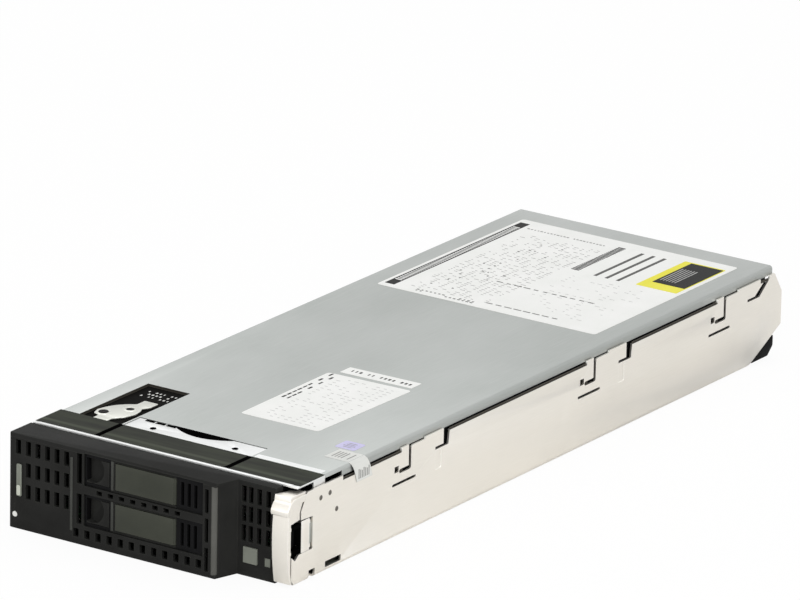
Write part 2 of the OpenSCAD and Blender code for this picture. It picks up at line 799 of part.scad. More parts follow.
// Finned heatsink on corner posts
module heatsink(y) {
  step = (sink_w - fin_t) / (fin_count - 1);
  difference() {
    union() {
      block([sink_x, y, sink_z], [sink_x + sink_w, y + sink_l, sink_z + sink_base_t]);
      for (x = [sink_x:step:sink_x + sink_w - fin_t / 2])
        block([x, y + 2, sink_z], [x + fin_t, y + sink_l - 2, sink_z + sink_h]);
    }
    for (c = sink_corners(y)) {
      translate([c[0], c[1], sink_z + sink_base_t]) cylinder(r = sink_screw_head_r + 1.4, h = sink_h);
      translate([c[0], c[1], sink_z - 1]) cylinder(r = sink_screw_r + set_gap, h = sink_h);
    }
  }
}

module front_heatsink() color(bright_steel) seated() heatsink(front_sink_y);

module rear_heatsink() color(bright_steel) seated() heatsink(rear_sink_y);

module heatsink_screws() color("#55565a") seated() for (y = sink_ys, c = sink_corners(y)) {
  head_z = sink_z + sink_base_t;
  translate([c[0], c[1], board_top]) cylinder(r = sink_screw_r, h = head_z - board_top);
  translate([c[0], c[1], head_z]) cylinder(r = sink_screw_head_r, h = sink_screw_head_h);
}

// Left edge of each memory socket, four at each side of the heatsinks
dimm_xs = [
  for (i = [0:dimm_count - 1]) board_left + bank_side_gap + i * dimm_pitch,
  for (i = [0:dimm_count - 1]) board_right - bank_side_gap - dimm_socket_w - i * dimm_pitch
];

socket_end_l = 5;
socket_end_h = 18;
key_z = 2.8;
chip_count = 8;
chip_inset = 6.7;

module dimm_sockets() color(connector_black) seated() for (x = dimm_xs, y = bank_ys) difference() {
  mid = x + dimm_socket_w / 2;
  slot = dimm_t / 2 + set_gap;
  union() {
    block([x, y, board_top], [x + dimm_socket_w, y + bank_l, board_top + dimm_socket_h]);
    for (end = [y, y + bank_l - socket_end_l])
      block([x + 1, end, board_top], [x + dimm_socket_w - 1, end + socket_end_l, board_top + socket_end_h]);
  }
  block([mid - slot, y + 1 - set_gap, board_top + key_z],
        [mid + slot, y + bank_l - 1 + set_gap, board_top + socket_end_h + 1]);
}

module dimm_modules() color("#2c5233") seated() for (x = dimm_xs, y = bank_ys) {
  mid = x + dimm_socket_w / 2;
  foot = board_top + key_z + 0.2;
  chip_pitch = (dimm_l - 2 * chip_inset) / chip_count;
  block([mid - dimm_t / 2, y + 1, foot], [mid + dimm_t / 2, y + 1 + dimm_l, foot + dimm_h]);
  for (i = [0:chip_count - 1], side = [-1, 1])
    translate([
      mid + side * (dimm_t / 2 + 0.5),
      y + 1 + chip_inset + (i + 0.5) * chip_pitch,
      foot + dimm_h * 0.63
    ]) cube([1, chip_pitch * 0.65, dimm_h * 0.4], center = true);
}

// Bent plastic wall that steers air from the drives into the front heatsink
module air_baffle() color("#2b2b2e") seated() difference() {
  top = sink_z + sink_h;
  notch_w = 40;
  block([sink_x, cage_rear + 1, top], [sink_x + sink_w, front_sink_y + 8, top + 1.6]);
  block([mid_x - notch_w / 2, cage_rear, sink_z], [mid_x + notch_w / 2, cage_rear + 6, body_h]);
}

// ---- Rear cards and connectors ----

mezz_y = rear_sink_y + sink_l + mezz_gap;
mezz_l = card_rear - mezz_y;
mezz_left = mid_x - mezz_w / 2;
mezz_board_z = board_top + mezz_z;
mezz_edge = 5;
mezz_sink_w = 32;
mezz_sink_h = 9;
spacer_places = [
  for (dx = [mezz_edge, mezz_w - mezz_edge], dy = [mezz_edge, mezz_l - mezz_edge])
    [mezz_left + dx, mezz_y + dy]
];

module mezzanine_card() color("#1f4a33") seated() {
  top = mezz_board_z + board_t;
  block([mezz_left, mezz_y, mezz_board_z], [mezz_left + mezz_w, mezz_y + mezz_l, top]);
  block([mid_x - mezz_sink_w / 2, mezz_y + mezz_l * 0.24, top],
        [mid_x + mezz_sink_w / 2, mezz_y + mezz_l * 0.62, top + mezz_sink_h]);
}

module mezzanine_connector() color(connector_black) seated()
  block([mid_x - mezz_w * 0.36, card_rear - 4 * mezz_edge, board_top],
        [mid_x + mezz_w * 0.36, card_rear - 2 * mezz_edge, mezz_board_z]);

module mezzanine_spacers() color(bright_steel) seated() for (p = spacer_places)
  translate([p[0], p[1], board_top]) cylinder(r = 2.6, h = mezz_z);

adapter_x = board_right - card_l - 3;
adapter_y = card_rear - card_l;
adapter_z = board_top + 8;
chip_l = 14;
chip_t = 2;
cache_x = board_left + 9;
cache_l = card_l - 2;
cache_h = 6;
pack_x = 15;
pack_y = 60;
pack_l = 58;
pack_r = 6.6;
pack_gap = 0.8;
pack_w = 4 * pack_r + 2 * pack_gap;
strap_l = 6;

module network_adapter() color("#1f4a33") seated() {
  top = adapter_z + board_t;
  corner = (card_l - chip_l) / 2;
  block([adapter_x, adapter_y, adapter_z], [adapter_x + card_l, adapter_y + card_l, top]);
  block([adapter_x + corner, adapter_y + corner, top],
        [adapter_x + corner + chip_l, adapter_y + corner + chip_l, top + chip_t]);
}

module network_connector() color(connector_black) seated()
  block([adapter_x + 3, adapter_y + 2, board_top], [adapter_x + card_l - 3, adapter_y + 8, adapter_z]);

module cache_module() color("#1f4a33") seated() {
  top = board_top + cache_h;
  block([cache_x, adapter_y, board_top], [cache_x + cache_l, adapter_y + cache_l, top]);
  block([cache_x + 4, adapter_y + 5, top], [cache_x + 4 + chip_l, adapter_y + 5 + chip_l, top + chip_t]);
}

// Two capacitors side by side in two plastic straps
module capacitor_pack() color("#3a3a42") seated() {
  for (side = [-1, 1])
    translate([
      pack_x + pack_w / 2 + side * (pack_r + pack_gap / 2),
      pack_y,
      board_top + pack_r + pack_gap / 2
    ])
      rotate([-90, 0, 0]) cylinder(r = pack_r, h = pack_l);
  for (y = [pack_y + strap_l, pack_y + pack_l - 2 * strap_l])
    block([pack_x, y, board_top], [pack_x + pack_w, y + strap_l, board_top + pack_r]);
}

cell_x = body_w - 25;
cell_y = 118;
cell_r = 10;
cell_t = 3.2;
holder_t = 1.6;

module cell_holder() color(connector_black) seated() translate([cell_x, cell_y, board_top]) difference() {
  cylinder(r = cell_r + 2, h = holder_t + cell_t + 0.2);
  translate([0, 0, holder_t]) cylinder(r = cell_r + set_gap, h = cell_t + 1);
}

module coin_cell() color(bright_steel) seated()
  translate([cell_x, cell_y, board_top + holder_t]) cylinder(r = cell_r, h = cell_t);

// Midplane signal connector: block with rows of contact wafers
wafer_pitch = 6;
wafer_w = 3;
wafer_d = 8;
contact_rim = 3;

module signal_connector() color(connector_black) seated() difference() {
  left = mid_x - signal_w / 2;
  top = board_top + signal_h;
  block([left, body_l - rear_connector_d, board_top], [left + signal_w, body_l, top]);
  for (x = [left + 2.5:wafer_pitch:left + signal_w - 5])
    block([x, body_l - wafer_d, board_top + contact_rim], [x + wafer_w, body_l + 1, top - contact_rim]);
}

power_left = mid_x + signal_w / 2 + guide_w + 4;

module power_connector() color(connector_black) seated() difference() {
  rear = body_l - 3;
  blade_w = power_w / 4;
  block([power_left, body_l - rear_connector_d, board_top],
        [power_left + power_w, rear, board_top + power_h]);
  for (x = [power_left + contact_rim, power_left + power_w - contact_rim - blade_w])
    block([x, rear - 10, board_top + contact_rim],
          [x + blade_w, rear + 1, board_top + power_h - contact_rim]);
}

// Blocks at both sides of the signal connector with bores for the midplane's guide pins
guide_out = signal_w / 2 + guide_w / 2 + 1;
guide_xs = [mid_x - guide_out, mid_x + guide_out];
guide_z = board_top + guide_w / 2;

module guide_blocks() color("#9a9c9e") seated() for (x = guide_xs) difference() {
  rear = body_l - 1;
  block([x - guide_w / 2, body_l - rear_connector_d, board_top],
        [x + guide_w / 2, rear, board_top + guide_w]);
  translate([x, rear - guide_bore_l, guide_z]) rotate([-90, 0, 0])
    cylinder(r = guide_bore_r, h = guide_bore_l + 1);
}

// Perforated panel with an opening for the connectors
hex_pitch = 5.6;
hex_r = 2.4;
hex_inset = 9;

module rear_panel() color(zinc) seated() difference() {
  open_left = guide_xs[0] - guide_w / 2 - 0.5;
  open_right = power_left + power_w + 3;
  open_top = board_top + signal_h + 0.5;
  top_row = wall_h - 8;
  block([inner_left + set_gap, rear_panel_y, tray_t],
        [inner_right - set_gap, rear_panel_y + rear_panel_t, wall_h - 2]);
  block([open_left, 0, board_z - 1], [open_right, body_l, open_top]);
  for (x = [inner_left + hex_inset:hex_pitch:inner_right - hex_inset + hex_r], row = [0:3]) {
    z = top_row - row * hex_pitch;
    if (z > open_top + hex_pitch || x < open_left - hex_pitch || x > open_right + hex_pitch)
      translate([x, rear_panel_y - 1, z]) rotate([-90, 0, 0])
        cylinder(r = hex_r, h = rear_panel_t + 2, $fn = 6);
  }
}

// Black insulating strip that stands on the floor at the board's right edge
module edge_insulator() color(deep_black) seated() {
  front = wall_rear - rear_cut_l;
  rear = rear_panel_y - set_gap;
  slant = 6;
  top = board_top + 4;
  along_x(board_right + set_gap, inner_right - tray_bend_r + tray_t) polygon([
    [front - slant, tray_t],
    [rear, tray_t],
    [rear, top],
    [front + slant, top],
    [front - slant, board_top]
  ]);
}

// ---- Pull-out tab ----

module pull_tab_guide() color(charcoal) seated() difference() {
  rear = bezel_t + tab_l + 4;
  wall = 2;
  top = tab_z + tab_h + wall + move_gap;
  block([tab_x - wall, bezel_t, board_top], [tab_x + tab_t + wall, rear, top]);
  block([tab_x - move_gap, 0, tab_z - move_gap],
        [tab_x + tab_t + move_gap, rear - wall, tab_z + tab_h + move_gap]);
  block([tab_x - wall - 1, 0, 0], [tab_x + tab_t + wall + 1, board_front - 0.5, tab_z - wall - 1]);
}

module pull_tab() color("#a9aba3") seated()
  block([tab_x, 0.6, tab_z], [tab_x + tab_t, tab_l, tab_z + tab_h]);

// ---- Ejector lever at the right front corner ----

rivet_r = 1.1;
rivet_places = [[41, wall_h - 4.2], [49.7, wall_h - 3.7], [56.3, wall_h - 14.8]];
bracket_t = 1.6;
bracket_rear = 60;

module lever_bracket() color(zinc) seated() difference() {
  union() {
    // Plate riveted to the wall's inner face
    along_x(inner_right - bracket_t, inner_right)
      polygon([
        [ejector_pivot_y + 4, lug_low_z + 1.5],
        [ejector_pivot_y + 4, wall_h],
        [bracket_rear, wall_h],
        [bracket_rear, lug_low_z + 9.5],
        [bracket_rear - 10, lug_low_z + 1.5]
      ]);
    // Knuckle between the lever's lugs
    block([pivot_x - lug_r, ejector_pivot_y - 8, lug_low_z + lug_t + move_gap],
          [pivot_x + lug_r, ejector_pivot_y, lug_high_z - move_gap]);
    translate([pivot_x, ejector_pivot_y, lug_low_z + lug_t + move_gap])
      cylinder(r = lug_r, h = lug_high_z - lug_low_z - lug_t - 2 * move_gap);
    block([pivot_x - lug_r, ejector_pivot_y, lug_low_z + lug_t + move_gap],
          [inner_right, ejector_pivot_y + 8, lug_high_z - move_gap]);
  }
  translate([pivot_x, ejector_pivot_y, 0]) cylinder(r = ejector_pin_r, h = body_h);
  for (p = rivet_places) along_x(inner_right - 4, body_w) translate(p) circle(rivet_r);
}

pin_proud = 0.6;

module lever_pin() color(bright_steel) seated()
  translate([pivot_x, ejector_pivot_y, lug_low_z - pin_proud])
    cylinder(r = ejector_pin_r, h = lug_high_z - lug_low_z + lug_t + 2 * pin_proud);

module bracket_rivets() color(bright_steel) seated() for (p = rivet_places) {
  along_x(inner_right - bracket_t, body_w) translate(p) circle(rivet_r);
  along_x(inner_right - bracket_t - 0.8, inner_right - bracket_t) translate(p) circle(rivet_r + 0.9);
}

lever_top = wall_front_h - 0.8;
lever_foot = 2;
lever_front = foot_y - 3.6;
bulge_mid = [lever_front + bulge_r, (lever_top + lever_foot) / 2];

// Outline of the lever's outer side: bulged front, rear edge parallel to the wall's cut
module lever_side_outline() intersection() {
  translate(bulge_mid) circle(bulge_r, $fn = 360);
  polygon([
    [0, lever_foot],
    [foot_y - lever_foot_gap, lever_foot],
    [foot_y - lever_foot_gap, window_high + 0.4],
    [foot_y + 7.2, window_high + 1.2],
    [foot_y + 7.2, brow_z],
    [foot_y + 12.8, lever_top],
    [0, lever_top]
  ]);
}

module release_lever() color(warm_zinc) seated() difference() {
  union() {
    along_x(body_w - tray_t, body_w) lever_side_outline();
    // Bulged front plate
    along_x(ejector_left, body_w) intersection() {
      difference() {
        translate(bulge_mid) circle(bulge_r, $fn = 360);
        translate(bulge_mid + [ejector_t, 0]) circle(bulge_r, $fn = 360);
      }
      translate([0, lever_foot]) square([foot_y, lever_top - lever_foot]);
    }
    // Top plate, slanted back to the side
    along_z(lever_top - ejector_t, lever_top) polygon([
      [ejector_left, lever_front + 2.6], [body_w, lever_front + 2.6],
      [body_w, foot_y + 12], [body_w - 3 * tray_t, foot_y + 12], [ejector_left, foot_y + 1]
    ]);
    // Lugs back to the pin
    for (z = [lug_low_z, lug_high_z]) {
      block([pivot_x - lug_r, lever_front + 1, z], [pivot_x + lug_r, ejector_pivot_y, z + lug_t]);
      translate([pivot_x, ejector_pivot_y, z]) cylinder(r = lug_r, h = lug_t);
    }
  }
  translate([pivot_x, ejector_pivot_y, 0]) cylinder(r = ejector_pin_r + pin_clear, h = body_h);
}

module release_button() color("#8d9188") seated() {
  face = recess_d - release_travel * 0.4;
  rear = bezel_d - release_travel - 0.2;
  flange = 1;
  block([release_x, face, release_z], [release_x + release_w, rear, release_z + release_w]);
  block([release_x - flange, recess_d + bezel_t + set_gap, release_z - flange],
        [release_x + release_w + flange, rear, release_z + release_w + flange]);
}

module power_button() color("#e8e8e4") seated() translate([power_x, 0.3, power_z]) rotate([-90, 0, 0]) {
  cylinder(r = power_r, h = bezel_t + 2 + power_travel);
  translate([0, 0, bezel_t - 0.2]) cylinder(r = power_r + 0.5, h = 1);
}

// ---- Drives ----

button_inset = [1.2, 2];
button_d = 6;
scoop_r = 8.2;
front_block_d = 10;
grille_slot_w = 2.4;
grille_pitch = 4.4;
rim = 2.4;

module carrier(z) {
  mid = z + carrier_h / 2;
  right = carrier_x + carrier_w;
  pocket_low = mid - lever_h / 2 - move_gap;
  pocket_high = mid + lever_h / 2 + move_gap;
  barrel_room = barrel_r + move_gap;
  button_x = carrier_x + button_inset[0];
  button_low = z + button_inset[1] - move_gap;
  button_high = z + carrier_h - button_inset[1] + move_gap;
  difference() {
    union() {
      block([carrier_x, face_y, z], [right, face_y + front_block_d, z + carrier_h]);
      for (x = [carrier_x, right - rail_w]) block([x, face_y, z], [x + rail_w, rail_rear, z + rail_h]);
      block([carrier_x, carrier_front_d, z], [right, disk_y - set_gap, z + 6]);
    }
    // Pocket of the pull lever, round at the barrel
    block([lever_x - 2 * move_gap, 0, pocket_low], [barrel_x, face_y + 4, pocket_high]);
    translate([barrel_x, barrel_y, pocket_low]) cylinder(r = barrel_room, h = pocket_high - pocket_low);
    block([barrel_x - barrel_room, 0, pocket_low], [barrel_x + barrel_room, barrel_y, pocket_high]);
    translate([barrel_x, barrel_y, pocket_low - 0.7])
      cylinder(r = trunnion_r + pin_clear, h = pocket_high - pocket_low + 1.4);
    // Well of the release button
    block([button_x - move_gap, 0, button_low],
          [button_x + eject_w + move_gap, face_y + button_d + eject_travel + 0.5, button_high]);
    // Vents at the right and the airway through the middle
    for (i = [1:3]) {
      x = barrel_x + i * grille_pitch;
      block([x, 0, z + rim], [x + grille_slot_w, face_y + front_block_d + 1, z + carrier_h - rim]);
    }
    block([carrier_x + rail_w, face_y + 6, z + 2], [right - rail_w, carrier_front_d - 2, z + carrier_h - 2]);
  }
}

module disk(z) {
  x = carrier_x + rail_w + set_gap;
  low = z + 0.6;
  rear = disk_y + disk_l;
  difference() {
    block([x, disk_y, low], [x + disk_w, rear, low + disk_h]);
    // Step round the lid of the disk
    block([x - 1, rear - 8, low + disk_h - 2.6], [x + disk_w + 1, rear + 1, low + disk_h + 1]);
  }
}

module pull_lever(z) {
  front = face_y - 0.6;
  low = z + (carrier_h - lever_h) / 2;
  trunnion_l = 0.8;
  block([lever_x, front, low], [barrel_x, front + lever_t, low + lever_h]);
  translate([barrel_x, barrel_y, low]) cylinder(r = barrel_r, h = lever_h);
  translate([barrel_x, barrel_y, low - trunnion_l]) cylinder(r = trunnion_r, h = lever_h + 2 * trunnion_l);
}

module eject_button(z) {
  x = carrier_x + button_inset[0];
  difference() {
    block([x, face_y - 0.4, z + button_inset[1]],
          [x + eject_w, face_y + button_d, z + carrier_h - button_inset[1]]);
    // Round scoop that shows the well behind
    translate([x + 3.5, -1, z + carrier_h / 2 + 1.5]) rotate([-90, 0, 0])
      cylinder(r = scoop_r, h = face_y + 4.6);
  }
}

module drive_1_carrier() color(charcoal) seated() carrier(bay_zs[0] + move_gap);
module drive_1_disk() color(bright_steel) seated() disk(bay_zs[0] + move_gap);
module drive_1_lever() color(drive_grey) seated() pull_lever(bay_zs[0] + move_gap);
module drive_1_button() color(charcoal) seated() eject_button(bay_zs[0] + move_gap);
module drive_2_carrier() color(charcoal) seated() carrier(bay_zs[1] + move_gap);
module drive_2_disk() color(bright_steel) seated() disk(bay_zs[1] + move_gap);
module drive_2_lever() color(drive_grey) seated() pull_lever(bay_zs[1] + move_gap);
module drive_2_button() color(charcoal) seated() eject_button(bay_zs[1] + move_gap);

// ---- Cover ----

pocket_right = pocket_x + pocket_w;
pocket_rear = cover_front + pocket_l;
pocket_floor = body_h - pocket_d;

module cover_section() difference() {
  inside = cover_left + cover_t;
  translate([0, body_h]) mirror([0, 1]) trough_outline(cover_left, cover_right, 0, flange_h, cover_bend_r);
  translate([0, cover_under]) mirror([0, 1])
    trough_outline(inside, body_w - inside, 0, flange_h, cover_bend_r - cover_t);
}

// Tongue and stud that lock the cover to the wall
module lock_tongue(s) {
  y = s - cover_travel - slot_w / 2 + stud_r + move_gap;
  block([cover_right - cover_t, y - tongue_w / 2, slot_z - 2],
        [cover_right, y + tongue_w / 2, flange_bottom + 1]);
  translate([cover_right - eps, y, slot_z]) rotate([0, 90, 0])
    cylinder(r = stud_r, h = body_w - cover_right - set_gap);
}

module access_panel() color(zinc) seated() difference() {
  corner_w = 2.5;
  union() {
    along_y(cover_front, cover_rear) cover_section();
    block([pocket_x - cover_t, cover_front, pocket_floor - cover_t],
          [pocket_right + cover_t, pocket_rear + cover_t, body_h]);
    both_sides() for (s = stations) lock_tongue(s);
  }
  block([pocket_x, 0, pocket_floor], [pocket_right, pocket_rear, body_h + 1]);
  // Cut-out round the deck's flap
  block([pocket_right + cover_t, 0, flange_bottom],
        [flap_right + move_gap, cover_front + cutout_d, body_h + 1]);
  // Front corners, cut back behind the raised walls
  for (x = [0, cover_right - corner_w])
    block([x, 0, 0], [x + cover_left + corner_w, wall_front_end + 1, cover_under - 1]);
}

module latch_pad() color(deep_black) seated()
  block([pocket_x + set_gap, cover_front, pocket_floor],
        [pocket_right - set_gap, pocket_rear - set_gap, pocket_floor + pad_t]);

latch_x = pocket_x + latch_pivot_x;
latch_y = cover_front + latch_pivot_y;
latch_lift = 0.2;
latch_z = pocket_floor + pad_t + latch_lift;
latch_arm = [9.8, 11.8];
nose_w = 8;
tail_w = 7;
tail_l = 19.4;

module latch_pivot() color("#4a4a4a") seated() translate([latch_x, latch_y, pocket_floor + pad_t]) {
  head_z = latch_t + latch_lift + 0.1;
  cylinder(r = latch_pin_r, h = pocket_d - pad_t);
  translate([0, 0, head_z]) cylinder(r = latch_pin_r + 1, h = pocket_d - pad_t - head_z);
}

module cover_latch() color("#e6e7e2") seated() difference() {
  along_z(latch_z, latch_z + latch_t) {
    for (p = [[0, 0], latch_arm]) translate([latch_x, latch_y] + p) circle(latch_r);
    translate([latch_x, latch_y]) rotate(atan2(latch_arm[1], latch_arm[0]))
      translate([0, -latch_r]) square([norm(latch_arm), 2 * latch_r]);
    // Nose at the cover's front edge and tail for the finger
    translate([latch_x, cover_front + 0.2]) square([nose_w, latch_pivot_y - 4]);
    translate([latch_x + tail_w, latch_y + latch_arm[1]]) square([tail_w, tail_l]);
  }
  translate([latch_x, latch_y, 0]) cylinder(r = latch_pin_r + pin_clear, h = body_h + 1);
  translate([latch_x + latch_arm[0], latch_y + latch_arm[1], latch_z - 1])
    cylinder(r = latch_pin_r, h = latch_t + 2);
}

base_pan();
front_bezel();
edge_trim();
front_deck();
deck_film();
drive_cage();
drive_backplane();
backplane_connectors();
system_board();
standoffs();
board_screws();
cpu_sockets();
processors();
front_heatsink();
rear_heatsink();
heatsink_screws();
dimm_sockets();
dimm_modules();
air_baffle();
mezzanine_card();
mezzanine_connector();
mezzanine_spacers();
network_adapter();
network_connector();
cache_module();
capacitor_pack();
coin_cell();
cell_holder();
signal_connector();
power_connector();
guide_blocks();
rear_panel();
edge_insulator();
pull_tab_guide();
lever_bracket();
lever_pin();
bracket_rivets();
status_window();
access_panel();
latch_pad();
latch_pivot();
cover_latch();
release_lever();
release_button();
power_button();
pull_tab();
drive_1_carrier();
drive_1_disk();
drive_1_lever();
drive_1_button();
drive_2_carrier();
drive_2_disk();
drive_2_lever();
drive_2_button();
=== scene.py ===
import math

import bmesh
import bpy
from mathutils import Matrix, Vector


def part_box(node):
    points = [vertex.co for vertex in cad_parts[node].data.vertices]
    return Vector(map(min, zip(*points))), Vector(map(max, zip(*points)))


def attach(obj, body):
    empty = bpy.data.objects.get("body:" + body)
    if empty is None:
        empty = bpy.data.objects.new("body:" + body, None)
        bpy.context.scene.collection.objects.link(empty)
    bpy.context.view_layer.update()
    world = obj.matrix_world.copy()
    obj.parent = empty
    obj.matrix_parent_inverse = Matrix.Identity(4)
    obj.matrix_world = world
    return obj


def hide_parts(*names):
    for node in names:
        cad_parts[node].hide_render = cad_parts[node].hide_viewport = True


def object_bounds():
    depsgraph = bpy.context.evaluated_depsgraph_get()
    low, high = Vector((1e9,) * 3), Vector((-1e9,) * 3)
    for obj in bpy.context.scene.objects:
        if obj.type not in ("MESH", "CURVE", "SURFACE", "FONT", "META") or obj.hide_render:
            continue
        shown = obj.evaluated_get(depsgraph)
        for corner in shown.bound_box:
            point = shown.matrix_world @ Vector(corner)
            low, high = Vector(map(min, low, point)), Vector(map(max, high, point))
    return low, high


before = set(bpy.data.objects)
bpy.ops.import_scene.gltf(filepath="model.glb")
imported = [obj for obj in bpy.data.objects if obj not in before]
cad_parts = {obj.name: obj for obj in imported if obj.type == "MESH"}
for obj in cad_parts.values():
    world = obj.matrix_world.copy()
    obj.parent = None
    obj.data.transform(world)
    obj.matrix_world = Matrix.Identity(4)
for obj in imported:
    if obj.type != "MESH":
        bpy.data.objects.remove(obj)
cadLow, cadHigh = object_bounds()
mm = 0.001
print("frame loaded:", len(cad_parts), "nodes")


# an sRGB hex colour as linear red, green, blue and alpha
def linear(hexColour):
    channels = [int(hexColour[i:i + 2], 16) / 255 for i in (1, 3, 5)]
    curved = [c / 12.92 if c <= 0.04045 else ((c + 0.055) / 1.055) ** 2.4 for c in channels]
    return curved + [1.0]


# adds one node: settings are its properties or input values, links the sockets that feed it
def addNode(tree, kind, settings={}, links={}):
    node = tree.nodes.new(kind)
    for key, value in settings.items():
        if isinstance(key, str) and hasattr(node, key):
            setattr(node, key, value)
        else:
            node.inputs[key].default_value = value
    for key, source in links.items():
        tree.links.new(source, node.inputs[key])
    return node


# switches a material or the world to nodes, with none in its tree
def emptyTree(owner):
    owner.use_nodes = True
    owner.node_tree.nodes.clear()
    return owner.node_tree


def link(piece):
    bpy.context.scene.collection.objects.link(piece)
    return piece


# a place on the blade in millimetres from its front left lower corner
def spot(x, y, z):
    return cadLow + Vector((x, y, z)) * mm


# the box of a CAD node in millimetres from the same corner: low and high
def edges(node):
    low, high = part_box(node)
    return (Vector(low) - cadLow) / mm, (Vector(high) - cadLow) / mm


camera = {
    "target": (-0.0942, 0.1299, 0.028),
    "azimuth": 33.9,
    "elevation": 18.4,
    "roll": 1.2,
    "distance": 5.0,
    "lens": 383.5,
    "sensor": 36.0,
    "clip": (0.05, 100.0),
}


def makeCamera():
    azimuth = math.radians(camera["azimuth"])
    elevation = math.radians(camera["elevation"])
    back = Vector((math.sin(azimuth) * math.cos(elevation),
                   -math.cos(azimuth) * math.cos(elevation),
                   math.sin(elevation)))
    lens = bpy.data.cameras.new("camera")
    lens.lens = camera["lens"]
    lens.sensor_width = camera["sensor"]
    lens.clip_start, lens.clip_end = camera["clip"]
    eye = link(bpy.data.objects.new("camera", lens))
    turn = (-back).to_track_quat("-Z", "Y").to_matrix()
    roll = Matrix.Rotation(math.radians(camera["roll"]), 3, "Z")
    eye.matrix_world = (Matrix.Translation(Vector(camera["target"]) + back * camera["distance"])
                        @ (turn @ roll).to_4x4())
    bpy.context.scene.camera = eye


studio = {
    "floorHalf": 6.0,
    "floorDrop": 0.0002,     # keeps the floor just clear of the blade's underside
    "floorTone": "#fbfbfa",
    "floorGlow": 0.93,     # share of plain white that the camera sees on the floor
    "worldLight": 0.62,    # light that the world gives the object
    "key": (34.0, (2.2, -1.6, 1.7), 1.6),     # watts, place, size
    "top": (16.0, (-0.9, 0.4, 2.4), 2.2),
    "front": (9.0, (-1.2, -2.6, 0.9), 1.4),
}


def makeFloor():
    half = studio["floorHalf"]
    low = cadLow.z - studio["floorDrop"]
    mesh = bpy.data.meshes.new("floor")
    mesh.from_pydata([(-half, -half, low), (half, -half, low), (half, half, low), (-half, half, low)],
                     [], [(0, 1, 2, 3)])
    floor = link(bpy.data.objects.new("floor", mesh))
    material = bpy.data.materials.new("paperSweep")
    tree = emptyTree(material)
    paper = addNode(tree, "ShaderNodeBsdfDiffuse", {"Color": linear(studio["floorTone"])})
    white = addNode(tree, "ShaderNodeEmission", {"Strength": 1.0})
    path = addNode(tree, "ShaderNodeLightPath")
    seen = addNode(tree, "ShaderNodeMath", {"operation": "MULTIPLY", 1: studio["floorGlow"]},
                   {0: path.outputs["Is Camera Ray"]})
    both = addNode(tree, "ShaderNodeMixShader", {},
                   {0: seen.outputs[0], 1: paper.outputs[0], 2: white.outputs[0]})
    addNode(tree, "ShaderNodeOutputMaterial", {}, {"Surface": both.outputs[0]})
    mesh.materials.append(material)


def makeWorld():
    world = bpy.data.worlds.new("studio")
    bpy.context.scene.world = world
    tree = emptyTree(world)
    light = addNode(tree, "ShaderNodeBackground", {"Color": (1, 1, 1, 1), "Strength": studio["worldLight"]})
    seen = addNode(tree, "ShaderNodeBackground", {"Color": (1, 1, 1, 1), "Strength": 1.0})
    path = addNode(tree, "ShaderNodeLightPath")
    shown = path.outputs["Is Camera Ray"]
    for kind in ("Is Glossy Ray", "Is Transmission Ray"):
        shown = addNode(tree, "ShaderNodeMath", {"operation": "MAXIMUM"},
                        {0: shown, 1: path.outputs[kind]}).outputs[0]
    both = addNode(tree, "ShaderNodeMixShader", {}, {0: shown, 1: light.outputs[0], 2: seen.outputs[0]})
    addNode(tree, "ShaderNodeOutputWorld", {}, {"Surface": both.outputs[0]})


def makeLamp(name, watts, place, size):
    lamp = bpy.data.lights.new(name, "AREA")
    lamp.energy = watts
    lamp.size = size
    holder = link(bpy.data.objects.new(name, lamp))
    holder.location = place
    holder.rotation_mode = "QUATERNION"
    holder.rotation_quaternion = (-Vector(place)).to_track_quat("-Z", "Y")


makeCamera()
makeFloor()
makeWorld()
for lampName in ("key", "top", "front"):
    makeLamp(lampName + "Lamp", *studio[lampName])
bpy.context.scene.view_settings.view_transform = "Standard"
print("camera, floor and lamps set")


def startMaterial(name, shader):
    material = bpy.data.materials.new(name)
    tree = emptyTree(material)
    surface = addNode(tree, "ShaderNodeBsdfPrincipled", shader)
    addNode(tree, "ShaderNodeOutputMaterial", {}, {"Surface": surface.outputs[0]})
    return material, tree, surface


# object coordinates stretched so that one unit is the given millimetres along x, y and z,
# and turned by the given degrees about z
def stretched(tree, size, turn=0):
    coordinates = addNode(tree, "ShaderNodeTexCoord")
    return addNode(tree, "ShaderNodeMapping",
                   {"Rotation": (0, 0, math.radians(turn)), "Scale": [1000.0 / s for s in size]},
                   {"Vector": coordinates.outputs["Object"]}).outputs[0]


# noise whose patches are the given millimetres along x, y and z
def patches(tree, size, detail=3.0, rough=0.55, turn=0):
    noise = addNode(tree, "ShaderNodeTexNoise", {"Scale": 1.0, "Detail": detail, "Roughness": rough},
                    {"Vector": stretched(tree, size, turn)})
    return noise.outputs["Fac"]


# bends a mask so that it runs from low to high
def between(tree, mask, start, end, low=0.0, high=1.0):
    spread = addNode(tree, "ShaderNodeMapRange",
                     {"From Min": start, "From Max": end, "To Min": low, "To Max": high},
                     {"Value": mask})
    return spread.outputs[0]


# a mask at only a share of its strength
def weakened(tree, mask, share):
    return between(tree, mask, 0.0, 1.0, 0.0, share)


# two masks multiplied, so that only what both cover is left
def overlap(tree, first, second):
    return addNode(tree, "ShaderNodeMath", {"operation": "MULTIPLY"}, {0: first, 1: second}).outputs[0]


# one colour laid over another where the mask is high
def twoTones(tree, mask, first, second):
    mix = addNode(tree, "ShaderNodeMix", {"data_type": "RGBA"}, {0: mask})
    for socket, colour in ((6, first), (7, second)):
        if isinstance(colour, str):
            mix.inputs[socket].default_value = linear(colour)
        else:
            tree.links.new(colour, mix.inputs[socket])
    return mix.outputs[2]


